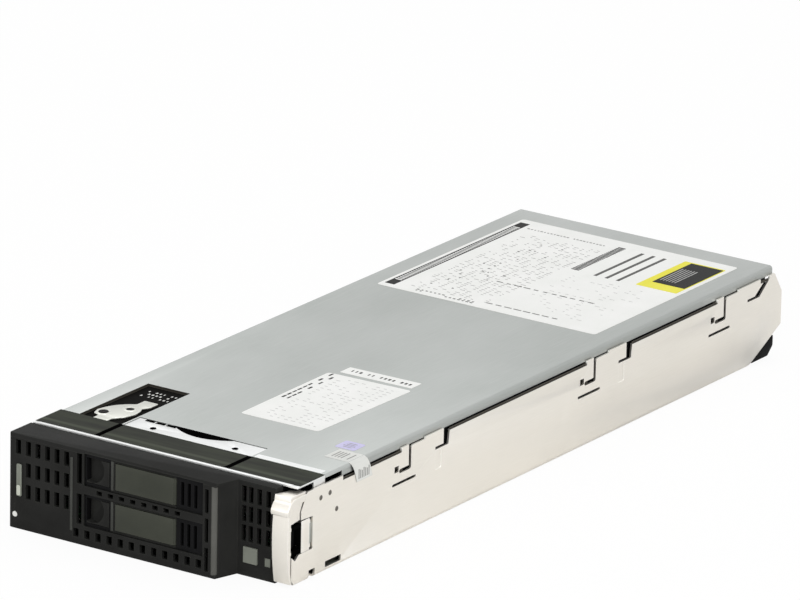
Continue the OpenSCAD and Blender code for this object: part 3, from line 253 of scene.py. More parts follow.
# 0 on flats, 1 along edges within the width in millimetres, which handling rubs bright
def edgeMask(tree, width):
    rounded = addNode(tree, "ShaderNodeBevel", {"samples": 4, "Radius": width * mm})
    flat = addNode(tree, "ShaderNodeNewGeometry")
    same = addNode(tree, "ShaderNodeVectorMath", {"operation": "DOT_PRODUCT"},
                   {0: rounded.outputs[0], 1: flat.outputs["True Normal"]})
    return between(tree, same.outputs["Value"], 0.995, 0.90)     # cosines of about 6 and 26 degrees


# gives a surface its colour, and a roughness that follows a mask between two values
def feed(tree, surface, tone, mask, dull):
    tree.links.new(tone, surface.inputs["Base Color"])
    tree.links.new(between(tree, mask, 0.3, 0.7, *dull), surface.inputs["Roughness"])


# dents a surface by a height mask that is the given millimetres deep
def addBump(tree, surface, height, strength, depth):
    bump = addNode(tree, "ShaderNodeBump", {"Strength": strength, "Distance": depth * mm},
                   {"Height": height})
    tree.links.new(bump.outputs[0], surface.inputs["Normal"])


# Pattern sizes in the materials below are millimetres along x, y and z, and rubbed edges
# have their width in millimetres
zinc = {
    "cloud": (60, 95, 60),
    "grain": (0.5, 16, 0.5),     # real grain is near 0.1 mm wide, drawn coarser to show
    "scratch": (0.35, 38, 38),
    "scratchTurn": 24,     # degrees off the rolling grain
    "rubbed": 0.5,
}


# Cold-rolled steel sheet, zinc plated: a soft grey with faint lengthwise rolling grain,
# a cloudy tone, a few fine handling scratches and a satin shine
def zincPlatedSteel(name, tones, shine=0.42, mark=0.25):
    material, tree, surface = startMaterial(name, {"Metallic": 1.0})
    cloud = patches(tree, zinc["cloud"], 4.0)
    grain = patches(tree, zinc["grain"], 4.0)
    scratches = between(tree, patches(tree, zinc["scratch"], 1.0, 0.4, zinc["scratchTurn"]), 0.70, 0.76)
    tone = twoTones(tree, between(tree, cloud, 0.3, 0.7), tones[0], tones[1])
    tone = twoTones(tree, between(tree, grain, 0.35, 0.75, 0.0, 0.35), tone, tones[2])
    tone = twoTones(tree, weakened(tree, scratches, mark), tone, tones[3])
    tone = twoTones(tree, edgeMask(tree, zinc["rubbed"]), tone, tones[3])
    feed(tree, surface, tone, cloud, (shine - 0.05, shine + 0.07))
    addBump(tree, surface, grain, 0.10, 0.02)
    return material


moulded = {"cloud": (24, 24, 24), "rubbed": 0.35}


# Injection-moulded plastic with a fine spark-eroded texture: matt, with edges rubbed lighter
# and a little dust in the tone. The spark texture is about 0.1 mm, and grit draws it coarser
def mouldedPlastic(name, body, worn, shine, grit=0.35, gloss=0.1):
    material, tree, surface = startMaterial(name, {"IOR": 1.5, "Specular IOR Level": gloss})
    cloud = patches(tree, moulded["cloud"])
    texture = patches(tree, (grit, grit, grit), 2.0)
    tone = twoTones(tree, between(tree, cloud, 0.35, 0.7, 0.0, 0.8), body[0], body[1])
    tone = twoTones(tree, weakened(tree, edgeMask(tree, moulded["rubbed"]), 0.5), tone, worn)
    feed(tree, surface, tone, texture, (shine - 0.05, shine + 0.07))
    addBump(tree, surface, texture, 0.25, 0.03)
    return material


printed = {
    "reflectionPatches": (46, 7, 20),
    "stipple": (0.5, 0.5, 0.5),     # real stipple is 0.15 mm, drawn coarser to show
    "paintedReflection": (3.6, 8.2),     # the painted reflected band: behind the film's front edge, along its middle
    "fade": 1.5,     # width over which the painted reflected band comes and goes
}


# Screen-printed polyester film with a fine embossed stipple: dark and half glossy. Soft streaks of reflected
# room along its length are painted into its colour: a painted reflection in broad patches, and a painted
# reflected band behind its front edge
def printedFilm(name, body, paintedReflection, shine):
    material, tree, surface = startMaterial(name, {"IOR": 1.55, "Specular IOR Level": 0.02})
    reflectionPatches = patches(tree, printed["reflectionPatches"], 2.0)
    stipple = patches(tree, printed["stipple"], 1.0)
    coordinates = addNode(tree, "ShaderNodeTexCoord")
    split = addNode(tree, "ShaderNodeSeparateXYZ", {}, {"Vector": coordinates.outputs["Object"]})
    along = split.outputs["Y"]
    low, high = [spot(0, edges("deck_film")[0].y + reach, 0).y for reach in printed["paintedReflection"]]
    fade = printed["fade"] * mm
    reflectionBand = overlap(tree, between(tree, along, low, low + fade), between(tree, along, high, high - fade))
    tone = twoTones(tree, between(tree, reflectionPatches, 0.35, 0.68, 0.0, 0.6), body, paintedReflection)
    tone = twoTones(tree, reflectionBand, tone, paintedReflection)
    feed(tree, surface, tone, reflectionPatches, (shine, shine + 0.14))
    addBump(tree, surface, stipple, 0.15, 0.02)
    return material


labelStock = {
    "fibres": (0.35, 1.2, 0.35),     # real fibres are 0.05 mm, drawn coarser to show
    "cloud": (18, 26, 18),
    "rubbed": 0.8,
}


# Coated label paper, matt and faintly fibrous, yellowed and dirtied a little towards its edges
def labelPaper(name, tones, stain):
    material, tree, surface = startMaterial(name, {"IOR": 1.45, "Roughness": 0.62})
    fibres = patches(tree, labelStock["fibres"], 4.0)
    cloud = patches(tree, labelStock["cloud"])
    tone = twoTones(tree, between(tree, cloud, 0.3, 0.75), tones[0], tones[1])
    tone = twoTones(tree, between(tree, fibres, 0.55, 0.8, 0.0, 0.3), tone, stain)
    tone = twoTones(tree, weakened(tree, edgeMask(tree, labelStock["rubbed"]), 0.4), tone, stain)
    tree.links.new(tone, surface.inputs["Base Color"])
    addBump(tree, surface, fibres, 0.12, 0.02)
    return material


# Thermal-transfer ink: flat and dense, broken up in spots of 0.8 mm where the ribbon didn't take
def ribbonInk(name, tone, missed):
    material, tree, surface = startMaterial(name, {"IOR": 1.45, "Specular IOR Level": 0.12})
    gaps = patches(tree, (0.8, 0.8, 0.8))
    broken = twoTones(tree, between(tree, gaps, 0.58, 0.72, 0.0, 0.7), tone, missed)
    feed(tree, surface, broken, gaps, (0.42, 0.6))
    return material


laminate = {
    "trackGrid": (2.2, 2.2, 2.2),     # gives tracks of 0.3 mm
    "trackAreas": (22, 22, 22),
    "weave": (0.9, 0.9, 0.9),
}


# Glass-fibre laminate under green solder mask: glossy, with the weave faintly telegraphed
# and paler copper tracks running under the mask
def solderMask(name, mask, track, weave):
    material, tree, surface = startMaterial(name, {"IOR": 1.52, "Coat Weight": 0.3, "Coat Roughness": 0.12})
    lines = addNode(tree, "ShaderNodeTexBrick",
                    {"Scale": 1.0, "Mortar Size": 0.06, "Brick Width": 5.0, "Row Height": 0.9,
                     "offset": 0.37, "Color1": (0, 0, 0, 1), "Color2": (0, 0, 0, 1), "Mortar": (1, 1, 1, 1)},
                    {"Vector": stretched(tree, laminate["trackGrid"])})
    areas = patches(tree, laminate["trackAreas"], 2.0)
    cloth = addNode(tree, "ShaderNodeTexChecker", {"Scale": 1.0},
                    {"Vector": stretched(tree, laminate["weave"])})
    shown = overlap(tree, lines.outputs["Color"], between(tree, areas, 0.4, 0.55))
    tone = twoTones(tree, weakened(tree, cloth.outputs["Fac"], 0.3), mask, weave)
    tone = twoTones(tree, shown, tone, track)
    feed(tree, surface, tone, areas, (0.28, 0.4))
    addBump(tree, surface, lines.outputs["Color"], 0.2, 0.02)
    return material


aluminium = {"cloud": (14, 14, 14), "rubbed": 0.3}


# Aluminium, skived or cast: paler and bluer than zinc, with fine tool lines along one way
def machinedAluminium(name, tones, lines, shine):
    material, tree, surface = startMaterial(name, {"Metallic": 1.0})
    tool = patches(tree, lines)
    cloud = patches(tree, aluminium["cloud"])
    tone = twoTones(tree, between(tree, cloud, 0.3, 0.7), tones[0], tones[1])
    tone = twoTones(tree, weakened(tree, edgeMask(tree, aluminium["rubbed"]), 0.7), tone, tones[2])
    feed(tree, surface, tone, tool, (shine - 0.08, shine + 0.08))
    addBump(tree, surface, tool, 0.25, 0.03)
    return material


zincSheet = zincPlatedSteel("zincPlatedSteelSheet", ("#a6aaa7", "#b1b4b2", "#bbbdbb", "#d2d4d2"), 0.5, 0.2)
flapSheet = zincPlatedSteel("zincPlatedSteelFlap", ("#dcdddc", "#e4e5e5", "#ecedec", "#f2f3f2"), 0.45)
# Tray walls and ejector on the lit right side: paler than the cover's sheet, partly painted light from the
# right, with a warmer tone
warmSheet = zincPlatedSteel("warmSheetWithPaintedLight", ("#e4e0d8", "#ebe7df", "#f2eee8", "#f8f6f2"),
                            0.42, 0.15)
brightSteel = zincPlatedSteel("brightPlatedSteel", ("#d0d2d3", "#dadcdc", "#e2e4e4", "#f0f0f0"), 0.3)
latchSteel = zincPlatedSteel("nickelPlatedLatch", ("#c3c4bd", "#d0d1ca", "#dadbd4", "#eeeee9"), 0.4)
# Dark steel that paints shade on the cover's tongues, the latch pocket's walls and the gap under the cover
paintedShadeSteel = zincPlatedSteel("shadedSteelEdge", ("#3b3833", "#45423c", "#504d47", "#6a6760"), 0.6)
# Dark grey steel for the rivets, darker than the wall
rivetSteel = zincPlatedSteel("darkRivetSteel", ("#615e59", "#6d6a64", "#7b7872", "#95918a"), 0.55)
darkSteel = zincPlatedSteel("phosphatedSteel", ("#121211", "#1a1a19", "#222221", "#3a3a38"), 0.55)
bezelPlastic = mouldedPlastic("mouldedCharcoalAbs", ("#232322", "#2b2b2a"), "#42433f", 0.55, 0.35, 0.035)
drivePlastic = mouldedPlastic("mouldedGreyGreenAbs", ("#393b34", "#41433b"), "#5a5b53", 0.45)
trimPlastic = mouldedPlastic("mouldedMidGreyAbs", ("#555551", "#60605c"), "#7c7c77", 0.45)
ribPlastic = mouldedPlastic("mouldedSlateAbs", ("#3c3d3a", "#464744"), "#5c5d58", 0.45)
palePlastic = mouldedPlastic("mouldedPaleGreyAbs", ("#75786f", "#83867d"), "#a4a89e", 0.4)
palePad = mouldedPlastic("mouldedIvoryAbs", ("#bcbfb3", "#c8cbc0"), "#dcdfd4", 0.4)
whitePlastic = mouldedPlastic("mouldedWhiteAbs", ("#e4e4e0", "#ecece8"), "#f4f4f2", 0.35)
darkPlastic = mouldedPlastic("mouldedBlackPolymer", ("#101011", "#171718"), "#2b2b2c", 0.55, 0.35, 0.06)
cardPlastic = mouldedPlastic("blackPolyesterLabel", ("#0f0f0e", "#171715"), "#262624", 0.6, 0.35, 0.012)
sleevePlastic = mouldedPlastic("shrinkSleeve", ("#33333b", "#3d3d45"), "#55555d", 0.35)
# Black foam, also laid on as painted shade in the lever's window, along the flap's rear edge and in its
# crescent
blackFoamAndShade = mouldedPlastic("blackFoamAndPaintedShade", ("#050505", "#0a0a0a"), "#141413", 0.9, 0.8, 0.0)
# the second colour is the painted reflection on the film
deckFilm = printedFilm("screenPrintedFilm", "#20221b", "#42463b", 0.3)
paper = labelPaper("coatedLabelPaper", ("#ecedea", "#f2f2f0"), "#d6d4ca")
greyPaper = labelPaper("greyStrapPaper", ("#d6d7d3", "#dedfdb"), "#bdbdb8")
yellowPaper = labelPaper("yellowLabelPaper", ("#e6de38", "#ece650"), "#cfc63a")
lilacPaper = labelPaper("lilacLabelPaper", ("#c2bde2", "#d0cceb"), "#a9a4cc")
inkBlack = ribbonInk("blackRibbonInk", "#191918", "#3e3e3c")
inkDim = ribbonInk("dimRibbonInk", "#5b5b59", "#8a8a88")
inkGrey = ribbonInk("greyScreenInk", "#8b8b89", "#acacaa")
inkFaint = ribbonInk("faintScreenInk", "#b4b4b2", "#d2d2d0")
board = solderMask("greenSolderMask", "#1f3f28", "#3c6440", "#24482e")
skived = machinedAluminium("skivedAluminium", ("#c8cacc", "#d2d4d6", "#f0f0f0"), (0.3, 9, 0.3), 0.32)
castMetal = machinedAluminium("castAluminium", ("#b4b6b8", "#c0c2c4", "#e2e2e2"), (0.8, 0.8, 0.8), 0.42)

# the CAD nodes that take each finish, which their softened copies keep
finishes = (
    (zincSheet, ("rear_panel", "lever_bracket", "access_panel")),
    (warmSheet, ("base_pan", "release_lever")),
    (brightSteel, ("drive_cage", "standoffs", "board_screws", "processors", "mezzanine_spacers",
                   "coin_cell", "lever_pin", "bracket_rivets", "heatsink_screws", "guide_blocks")),
    (bezelPlastic, ("front_bezel", "pull_tab_guide", "drive_1_carrier", "drive_2_carrier",
                    "drive_1_button", "drive_2_button", "air_baffle")),
    (trimPlastic, ("edge_trim",)),
    (drivePlastic, ("drive_1_lever", "drive_2_lever")),
    (palePlastic, ("release_button", "status_window", "pull_tab")),
    (whitePlastic, ("power_button",)),
    (deckFilm, ("deck_film",)),
    (cardPlastic, ("latch_pad",)),
    (latchSteel, ("cover_latch",)),
    (board, ("system_board", "drive_backplane", "mezzanine_card", "network_adapter", "cache_module",
             "dimm_modules")),
    (darkPlastic, ("backplane_connectors", "cpu_sockets", "dimm_sockets", "mezzanine_connector",
                   "network_connector", "cell_holder", "signal_connector", "power_connector",
                   "edge_insulator")),
    (skived, ("front_heatsink", "rear_heatsink")),
    (castMetal, ("drive_1_disk", "drive_2_disk")),
    (sleevePlastic, ("capacitor_pack",)),
    (flapSheet, ("front_deck",)),     # a zinc sheet too, paler than the cover
    (darkSteel, ("latch_pivot",)),
)


def paint(piece, material):
    piece.data.materials.clear()
    piece.data.materials.append(material)


for finish, nodeNames in finishes:
    for nodeName in nodeNames:
        paint(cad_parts[nodeName], finish)
print("finishes made:", len(finishes))


# shades a mesh smooth except across corners sharper than the angle
def smoothShade(mesh, angle=32):
    mesh.shade_smooth()
    mesh.set_sharp_from_angle(angle=math.radians(angle))


# the mesh that an object's modifiers give, as its own plain mesh
def settle(piece):
    result = bpy.data.meshes.new_from_object(piece.evaluated_get(bpy.context.evaluated_depsgraph_get()))
    piece.modifiers.clear()
    piece.data = result
    return piece


# rounds the corners of a piece that are sharper than the angle, by a radius in millimetres
def roundCorners(piece, radius, segments=2, angle=35):
    bevel = piece.modifiers.new("roundedEdges", "BEVEL")
    bevel.width = radius * mm
    bevel.segments = segments
    bevel.limit_method = "ANGLE"
    bevel.angle_limit = math.radians(angle)
    bevel.use_clamp_overlap = True
    settle(piece)
    smoothShade(piece.data)
    return piece


# puts a finished piece on its body, with its finish. The slot name is not used
def place(piece, body, slotName, material=None):
    if material:
        paint(piece, material)
    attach(piece, body)
    return piece


# turns a shape into a mesh
def toMesh(name, shape):
    mesh = bpy.data.meshes.new(name)
    shape.to_mesh(mesh)
    shape.free()
    return mesh


# turns a shape into a linked piece, its faces pointing outwards
def toPiece(name, shape):
    bmesh.ops.recalc_face_normals(shape, faces=shape.faces)
    return link(bpy.data.objects.new(name, toMesh(name, shape)))


# a copy of a CAD node with its loose triangles merged and its edges rounded as folding,
# moulding or stamping rounds them. The test picks the faces of a second material by their
# centres in blade millimetres, once the mesh is cut across each given axis at its place
def softened(node, name, body, slotName, radius, segments=2, second=None, test=None, cuts=()):
    shape = bmesh.new()
    shape.from_mesh(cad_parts[node].data)
    bmesh.ops.remove_doubles(shape, verts=shape.verts, dist=0.004 * mm)
    for axis, at in cuts:
        point, normal = Vector(), Vector()
        point[axis] = at
        normal[axis] = 1.0
        everything = shape.verts[:] + shape.edges[:] + shape.faces[:]
        bmesh.ops.bisect_plane(shape, geom=everything, dist=0.001 * mm, plane_co=spot(*point),
                               plane_no=normal)
    if test:
        for face in shape.faces:
            face.material_index = int(test((face.calc_center_median() - cadLow) / mm))
    bmesh.ops.dissolve_limit(shape, angle_limit=math.radians(0.5), verts=shape.verts, edges=shape.edges,
                             delimit={"MATERIAL"})
    piece = link(bpy.data.objects.new(name, toMesh(name, shape)))
    for material in list(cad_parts[node].data.materials) + ([second] if second else []):
        piece.data.materials.append(material)
    roundCorners(piece, radius, segments)
    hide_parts(node)
    return place(piece, body, slotName)


# a piece made of blocks, each between two blade corners in millimetres
def blocks(name, spans):
    shape = bmesh.new()
    for low, high in spans:
        made = bmesh.ops.create_cube(shape, size=1.0)
        a, b = spot(*low), spot(*high)
        for vert in made["verts"]:
            vert.co = Vector([a[i] + (vert.co[i] + 0.5) * (b[i] - a[i]) for i in range(3)])
    return toPiece(name, shape)


# a flat outline of blade points, drawn out along one axis by a length in millimetres
def drawnOut(name, points, axis, length):
    shape = bmesh.new()
    face = shape.faces.new([shape.verts.new(spot(*point)) for point in points])
    raised = bmesh.ops.extrude_face_region(shape, geom=[face])
    for item in raised["geom"]:
        if isinstance(item, bmesh.types.BMVert):
            item.co[axis] += length * mm
    return toPiece(name, shape)


# a bar along x from a (y, z) outline
def crossbar(name, outline, left, right):
    return drawnOut(name, [(left, y, z) for y, z in outline], 0, right - left)


# a plate facing forwards from an (x, z) outline
def facePlate(name, outline, near, far):
    return drawnOut(name, [(x, near, z) for x, z in outline], 1, far - near)


# a slab lying flat from an (x, y) outline
def slab(name, outline, low, high):
    return drawnOut(name, [(x, y, low) for x, y in outline], 2, high - low)


# an outline with its corners rounded
def roundedOutline(corners, radius, steps=5):
    outline = []
    count = len(corners)
    for i, corner in enumerate(corners):
        here = Vector(corner)
        before = (Vector(corners[i - 1]) - here).normalized() * radius
        after = (Vector(corners[(i + 1) % count]) - here).normalized() * radius
        for step in range(steps + 1):
            t = step / steps
            p = (here + before) * (1 - t) ** 2 + here * 2 * t * (1 - t) + (here + after) * t ** 2
            outline.append((p.x, p.y))
    return outline


def rectangle(x0, y0, x1, y1):
    return [(x0, y0), (x1, y0), (x1, y1), (x0, y1)]


# a solid turned about the z axis through the origin from a (radius, height) profile, in millimetres.
# It is a pattern part, never linked to the scene itself
def turnedPart(name, profile, sides):
    shape = bmesh.new()
    rings = []
    for radius, height in profile:
        turns = [math.tau * i / sides for i in range(sides)] if radius else [0.0]
        rings.append([shape.verts.new((radius * mm * math.cos(turn), radius * mm * math.sin(turn),
                                       height * mm)) for turn in turns])
    for lower, upper in zip(rings, rings[1:]):
        for i in range(sides):
            j = (i + 1) % sides
            quad = [ring[k % len(ring)] for ring, k in ((lower, i), (lower, j), (upper, j), (upper, i))]
            shape.faces.new(list(dict.fromkeys(quad)))     # where a ring is one point, a triangle
    bmesh.ops.recalc_face_normals(shape, faces=shape.faces)
    mesh = toMesh(name, shape)
    smoothShade(mesh, 40)
    return bpy.data.objects.new(name, mesh)


# a tree with named inputs, given as label and kind, and one geometry output
def startTree(name, inputs):
    tree = bpy.data.node_groups.new(name, "GeometryNodeTree")
    for label, kind in (("Geometry", "Geometry"), ("Part", "Object"), *inputs, ("Finish", "Material")):
        tree.interface.new_socket(label, in_out="INPUT", socket_type="NodeSocket" + kind)
    tree.interface.new_socket("Geometry", in_out="OUTPUT", socket_type="NodeSocketGeometry")
    return tree, addNode(tree, "NodeGroupInput").outputs


# makes the instances real, moves them if a place is given, and paints them
def endTree(tree, given, instances, moves={}):
    solid = addNode(tree, "GeometryNodeRealizeInstances", {}, {0: instances})
    moved = addNode(tree, "GeometryNodeTransform", {}, {"Geometry": solid.outputs[0]} | moves)
    painted = addNode(tree, "GeometryNodeSetMaterial", {},
                      {"Geometry": moved.outputs[0], "Material": given["Finish"]})
    addNode(tree, "NodeGroupOutput", {}, {0: painted.outputs[0]})
    return tree


# sets a part at each point of a grid, drops some and varies the length of the rest
def gridTree():
    tree, given = startTree("repeatOnGrid", (
        ("Columns", "Int"), ("Rows", "Int"), ("Width", "Float"), ("Depth", "Float"), ("Middle", "Vector"),
        ("Dropped", "Float"), ("Shortest", "Float"), ("Seed", "Int")))
    grid = addNode(tree, "GeometryNodeMeshGrid", {},
                   {"Size X": given["Width"], "Size Y": given["Depth"],
                    "Vertices X": given["Columns"], "Vertices Y": given["Rows"]})
    points = addNode(tree, "GeometryNodeMeshToPoints", {}, {"Mesh": grid.outputs["Mesh"]})
    lost = addNode(tree, "FunctionNodeRandomValue", {"data_type": "BOOLEAN"},
                   {"Probability": given["Dropped"], "Seed": given["Seed"]})
    kept = addNode(tree, "GeometryNodeDeleteGeometry", {"domain": "POINT"},
                   {"Geometry": points.outputs[0], "Selection": lost.outputs[3]})
    length = addNode(tree, "FunctionNodeRandomValue", {"data_type": "FLOAT", 3: 1.0},
                     {2: given["Shortest"], "Seed": given["Seed"]})
    size = addNode(tree, "ShaderNodeCombineXYZ", {"Y": 1.0, "Z": 1.0}, {"X": length.outputs[1]})
    part = addNode(tree, "GeometryNodeObjectInfo", {}, {"Object": given["Part"]})
    copies = addNode(tree, "GeometryNodeInstanceOnPoints", {},
                     {"Points": kept.outputs[0], "Instance": part.outputs["Geometry"],
                      "Scale": size.outputs[0]})
    return endTree(tree, given, copies.outputs[0], {"Translation": given["Middle"]})


# sets a part at each point of the host mesh
def scatterTree():
    tree, given = startTree("setAtPoints", (("Part Turn", "Vector"),))
    points = addNode(tree, "GeometryNodeMeshToPoints", {}, {"Mesh": given["Geometry"]})
    part = addNode(tree, "GeometryNodeObjectInfo", {}, {"Object": given["Part"]})
    turn = addNode(tree, "FunctionNodeEulerToRotation", {}, {0: given["Part Turn"]})
    copies = addNode(tree, "GeometryNodeInstanceOnPoints", {},
                     {"Points": points.outputs[0], "Instance": part.outputs["Geometry"],
                      "Rotation": turn.outputs[0]})
    return endTree(tree, given, copies.outputs[0])


repeatOnGrid = gridTree()
setAtPoints = scatterTree()


# runs a tree with the given inputs and leaves its result as a plain mesh
def grow(name, tree, values, mesh):
    piece = link(bpy.data.objects.new(name, mesh))
    modifier = piece.modifiers.new("grow", "NODES")
    modifier.node_group = tree
    for item in tree.interface.items_tree:
        if item.in_out == "INPUT" and item.name in values:
            modifier[item.identifier] = values[item.name]
    return settle(piece)


# a part repeated in columns and rows on a level grid between two blade corners
def onGrid(name, body, slotName, part, material, low, high, columns, rows, dropped, shortest, seed):
    values = {"Part": part, "Columns": columns, "Rows": rows,
              "Width": (high[0] - low[0]) * mm, "Depth": (high[1] - low[1]) * mm,
              "Middle": (spot(*low) + spot(*high)) / 2,
              "Dropped": dropped, "Shortest": shortest, "Seed": seed, "Finish": material}
    return place(grow(name, repeatOnGrid, values, bpy.data.meshes.new(name)), body, slotName)


# a part set at each of the given blade places, turned by the given degrees
def atPoints(name, body, slotName, part, material, places, turn=(0, 0, 0)):
    mesh = bpy.data.meshes.new(name)
    mesh.from_pydata([spot(*p) for p in places], [], [])
    values = {"Part": part, "Part Turn": [math.radians(t) for t in turn], "Finish": material}
    return place(grow(name, setAtPoints, values, mesh), body, slotName)


coverTop = edges("access_panel")[1].z
panLow, panHigh = edges("base_pan")
filmLow, filmHigh = edges("deck_film")
deckHigh = edges("front_deck")[1]
print("tools and trees ready")

pocket = {
    "left": 14.0,
    "right": 43.0,
    "rear": 112.0,
    "under": 0.25,     # where its walls start below the cover's top
    "deep": 2.2,
    "slack": 0.1,
    "flange": 5.1,     # where the cover's tongues start below its top
}


# painted shade: the tongues that reach down behind the walls, and the walls of the latch's pocket, take the
# dark steel
def coverShade(face):
    slack = pocket["slack"]
    inPocket = (pocket["left"] - slack < face.x < pocket["right"] + slack
                and face.y < pocket["rear"] + slack and face.z > coverTop - pocket["deep"])
    return face.z < coverTop - pocket["flange"] or (inPocket and face.z < coverTop - pocket["under"])


# Sheet metal has its edges rolled over a little by the shear and the press, mouldings by their mould
softened("access_panel", "coverPanel", "cover", "zinc_sheet", 0.35, 2, paintedShadeSteel, coverShade,
         ((2, coverTop - pocket["flange"]), (2, coverTop - pocket["under"])))
softened("base_pan", "trayShell", "chassis", "warm_sheet", 0.12, 1)
softened("front_deck", "deckPlate", "chassis", "zinc_sheet", 0.2)
softened("front_bezel", "bezelShell", "chassis", "bezel_plastic", 0.3)
softened("guide_blocks", "guideBlocks", "chassis", "bright_steel", 0.3)

driveFace = {"handleRight": 69.0, "grilleLeft": 113.0, "depth": 6.0}


# the handle's end and the grille's end of a drive's face are painted darker
def faceShade(face):
    return face.y < driveFace["depth"] and not driveFace["handleRight"] < face.x < driveFace["grilleLeft"]


faceCuts = ((0, driveFace["handleRight"]), (0, driveFace["grilleLeft"]), (1, driveFace["depth"]))
for number in (1, 2):
    node = f"drive_{number}"
    piece = f"drive{number}"
    softened(node + "_carrier", piece + "Carrier", node, "bezel_plastic", 0.3, 2,
             darkPlastic, faceShade, faceCuts)
    softened(node + "_lever", piece + "PullLever", node + "_lever", "drive_plastic", 0.3)
    softened(node + "_button", piece + "ReleaseButton", node + "_button", "bezel_plastic", 0.3)
    softened(node + "_disk", piece + "Disk", node, "disk_metal", 0.4)
print("softened sheet and mouldings made")

ejector = {
    "skin": 0.12,     # thickness of the lugs' outside that stays bright
    "windowFront": 3.3,     # behind the lever's front edge
    "windowRear": 23.4,
    "windowTop": 36.2,
    "web": (22.8, 30.5, 17.4, 35.8),     # front, rear, low, high
    "webThick": 0.24,
    "cap": [(8.3, 41.8), (8.3, 45.0), (10.6, 48.4), (14.6, 50.7), (26.3, 51.1), (26.3, 47.2),
            (15.6, 46.3), (12.4, 44.6), (10.9, 41.6)],     # from the side: y and z
    "capOut": 1.0,
    "capIn": 10.6,
}
leverLow, leverHigh = edges("release_lever")
lugSkin = leverHigh.x - ejector["skin"]
windowFront = leverLow.y + ejector["windowFront"]


# painted shade: black inside the window, bright behind it
def lugShade(face):
    return (face.x < lugSkin and windowFront < face.y < ejector["windowRear"]
            and face.z < ejector["windowTop"])


softened("release_lever", "ejectorLever", "ejector", "warm_sheet", 0.35, 3, blackFoamAndShade, lugShade,
         ((0, lugSkin), (2, ejector["windowTop"]), (1, windowFront), (1, ejector["windowRear"])))
# The bracket's faces inside the window are painted black as shade
softened("lever_bracket", "ejectorBracket", "chassis", "zinc_sheet", 0.2, 2, blackFoamAndShade,
         lambda face: face.y < ejector["windowRear"], ((1, ejector["windowRear"]),))

# A black sheet of painted shade behind the lever's window
windowShade = {"in": (5.9, 5.3), "front": 21.6, "rear": 61.0, "low": 12.0, "high": 44.0}
windowShadeLeft, windowShadeRight = [panHigh.x - depth for depth in windowShade["in"]]
place(blocks("ejectorLiner", [((windowShadeLeft, windowShade["front"], windowShade["low"]),
                               (windowShadeRight, windowShade["rear"], windowShade["high"]))]),
      "chassis", "connector_plastic", darkPlastic)

# The lever's web over its lugs, and the rolled cap along its top that a finger hooks under
webFront, webRear, webLow, webHigh = ejector["web"]
web = blocks("ejectorWeb", [((panHigh.x - ejector["webThick"], webFront, webLow),
                             (panHigh.x, webRear, webHigh))])
place(roundCorners(web, 0.1), "ejector", "warm_sheet", warmSheet)
cap = crossbar("ejectorCap", roundedOutline(ejector["cap"], 0.9, 3), panHigh.x - ejector["capIn"],
               panHigh.x + ejector["capOut"])
place(roundCorners(cap, 0.5, 3), "ejector", "warm_sheet", warmSheet)

# Black sheets of painted shade inside both walls, standing on the floor beside the board
wallShadeSheet = {
    "in": 2.8,     # from the outside of the wall
    "thick": 0.3,
    "spans": ((62.0, 466.0, 1.25), (466.0, 500.3, 10.0)),     # front, rear and lower edge, which steps up
    "high": 54.2,
}
for side, near in (("left", wallShadeSheet["in"]), ("right", panHigh.x - wallShadeSheet["in"] - wallShadeSheet["thick"])):
    far = near + wallShadeSheet["thick"]
    place(blocks(side + "InsulatingFilm", [((near, y0, low), (far, y1, wallShadeSheet["high"]))
                                           for y0, y1, low in wallShadeSheet["spans"]]),
          "chassis", "connector_plastic", darkPlastic)

# Domed rivets through the right wall and round studs under the floor
rivets = {
    "head": [(0, 0.4), (0.7, 0.38), (1.2, 0.26), (1.55, 0.0), (1.55, -0.02), (0, -0.02)],
    "places": ((41, 44.3), (49.7, 44.8), (56.3, 33.7)),     # y and z on the wall
}
atPoints("wallRivets", "chassis", "bright_steel", turnedPart("rivetHead", rivets["head"], 20), rivetSteel,
         [(panHigh.x, y, z) for y, z in rivets["places"]], (0, 90, 0))
studs = {
    "head": [(0, -0.02), (2.1, -0.02), (2.1, 0.1), (1.7, 0.22), (1.5, 0.22), (1.3, 0.12), (0, 0.12)],
    "rows": (0, 0.38, 0.62, 1),     # shares of the way from the front standoffs to the rear ones
    "radius": 3.0,     # of a standoff, whose middle a stud shares
}
boltLow, boltHigh = edges("standoffs")
studFront = boltLow.y + studs["radius"]
studRear = boltHigh.y - studs["radius"]
atPoints("floorStuds", "chassis", "bright_steel", turnedPart("studHead", studs["head"], 18), brightSteel,
         [(x, studFront + share * (studRear - studFront), 0.0)
          for x in (boltLow.x + studs["radius"], boltHigh.x - studs["radius"]) for share in studs["rows"]],
         (180, 0, 0))

# Grey strips of painted shade along the tops of the walls, which half fill the gap under the cover and give
# it its dark tone. They break off where the cover's ears reach down
gapShade = {"front": 62.6, "rear": 500.0, "ears": (127.0, 313.5, 452.0), "before": 8.6, "behind": 39.6,
        "low": 48.2, "high": 49.7, "outer": 0.35, "inner": 1.1}
gapShadeFronts = [gapShade["front"]] + [ear + gapShade["behind"] for ear in gapShade["ears"]]
gapShadeRears = [ear - gapShade["before"] for ear in gapShade["ears"]] + [gapShade["rear"]]
for side, left, right in (("left", panLow.x + gapShade["outer"], panLow.x + gapShade["inner"]),
                          ("right", panHigh.x - gapShade["inner"], panHigh.x - gapShade["outer"])):
    strips = blocks(side + "WallSeal", [((left, y0, gapShade["low"]), (right, y1, gapShade["high"]))
                                        for y0, y1 in zip(gapShadeFronts, gapShadeRears)])
    place(roundCorners(strips, 0.15, 1), "chassis", "warm_sheet", paintedShadeSteel)
print("ejector, rivets and studs made")

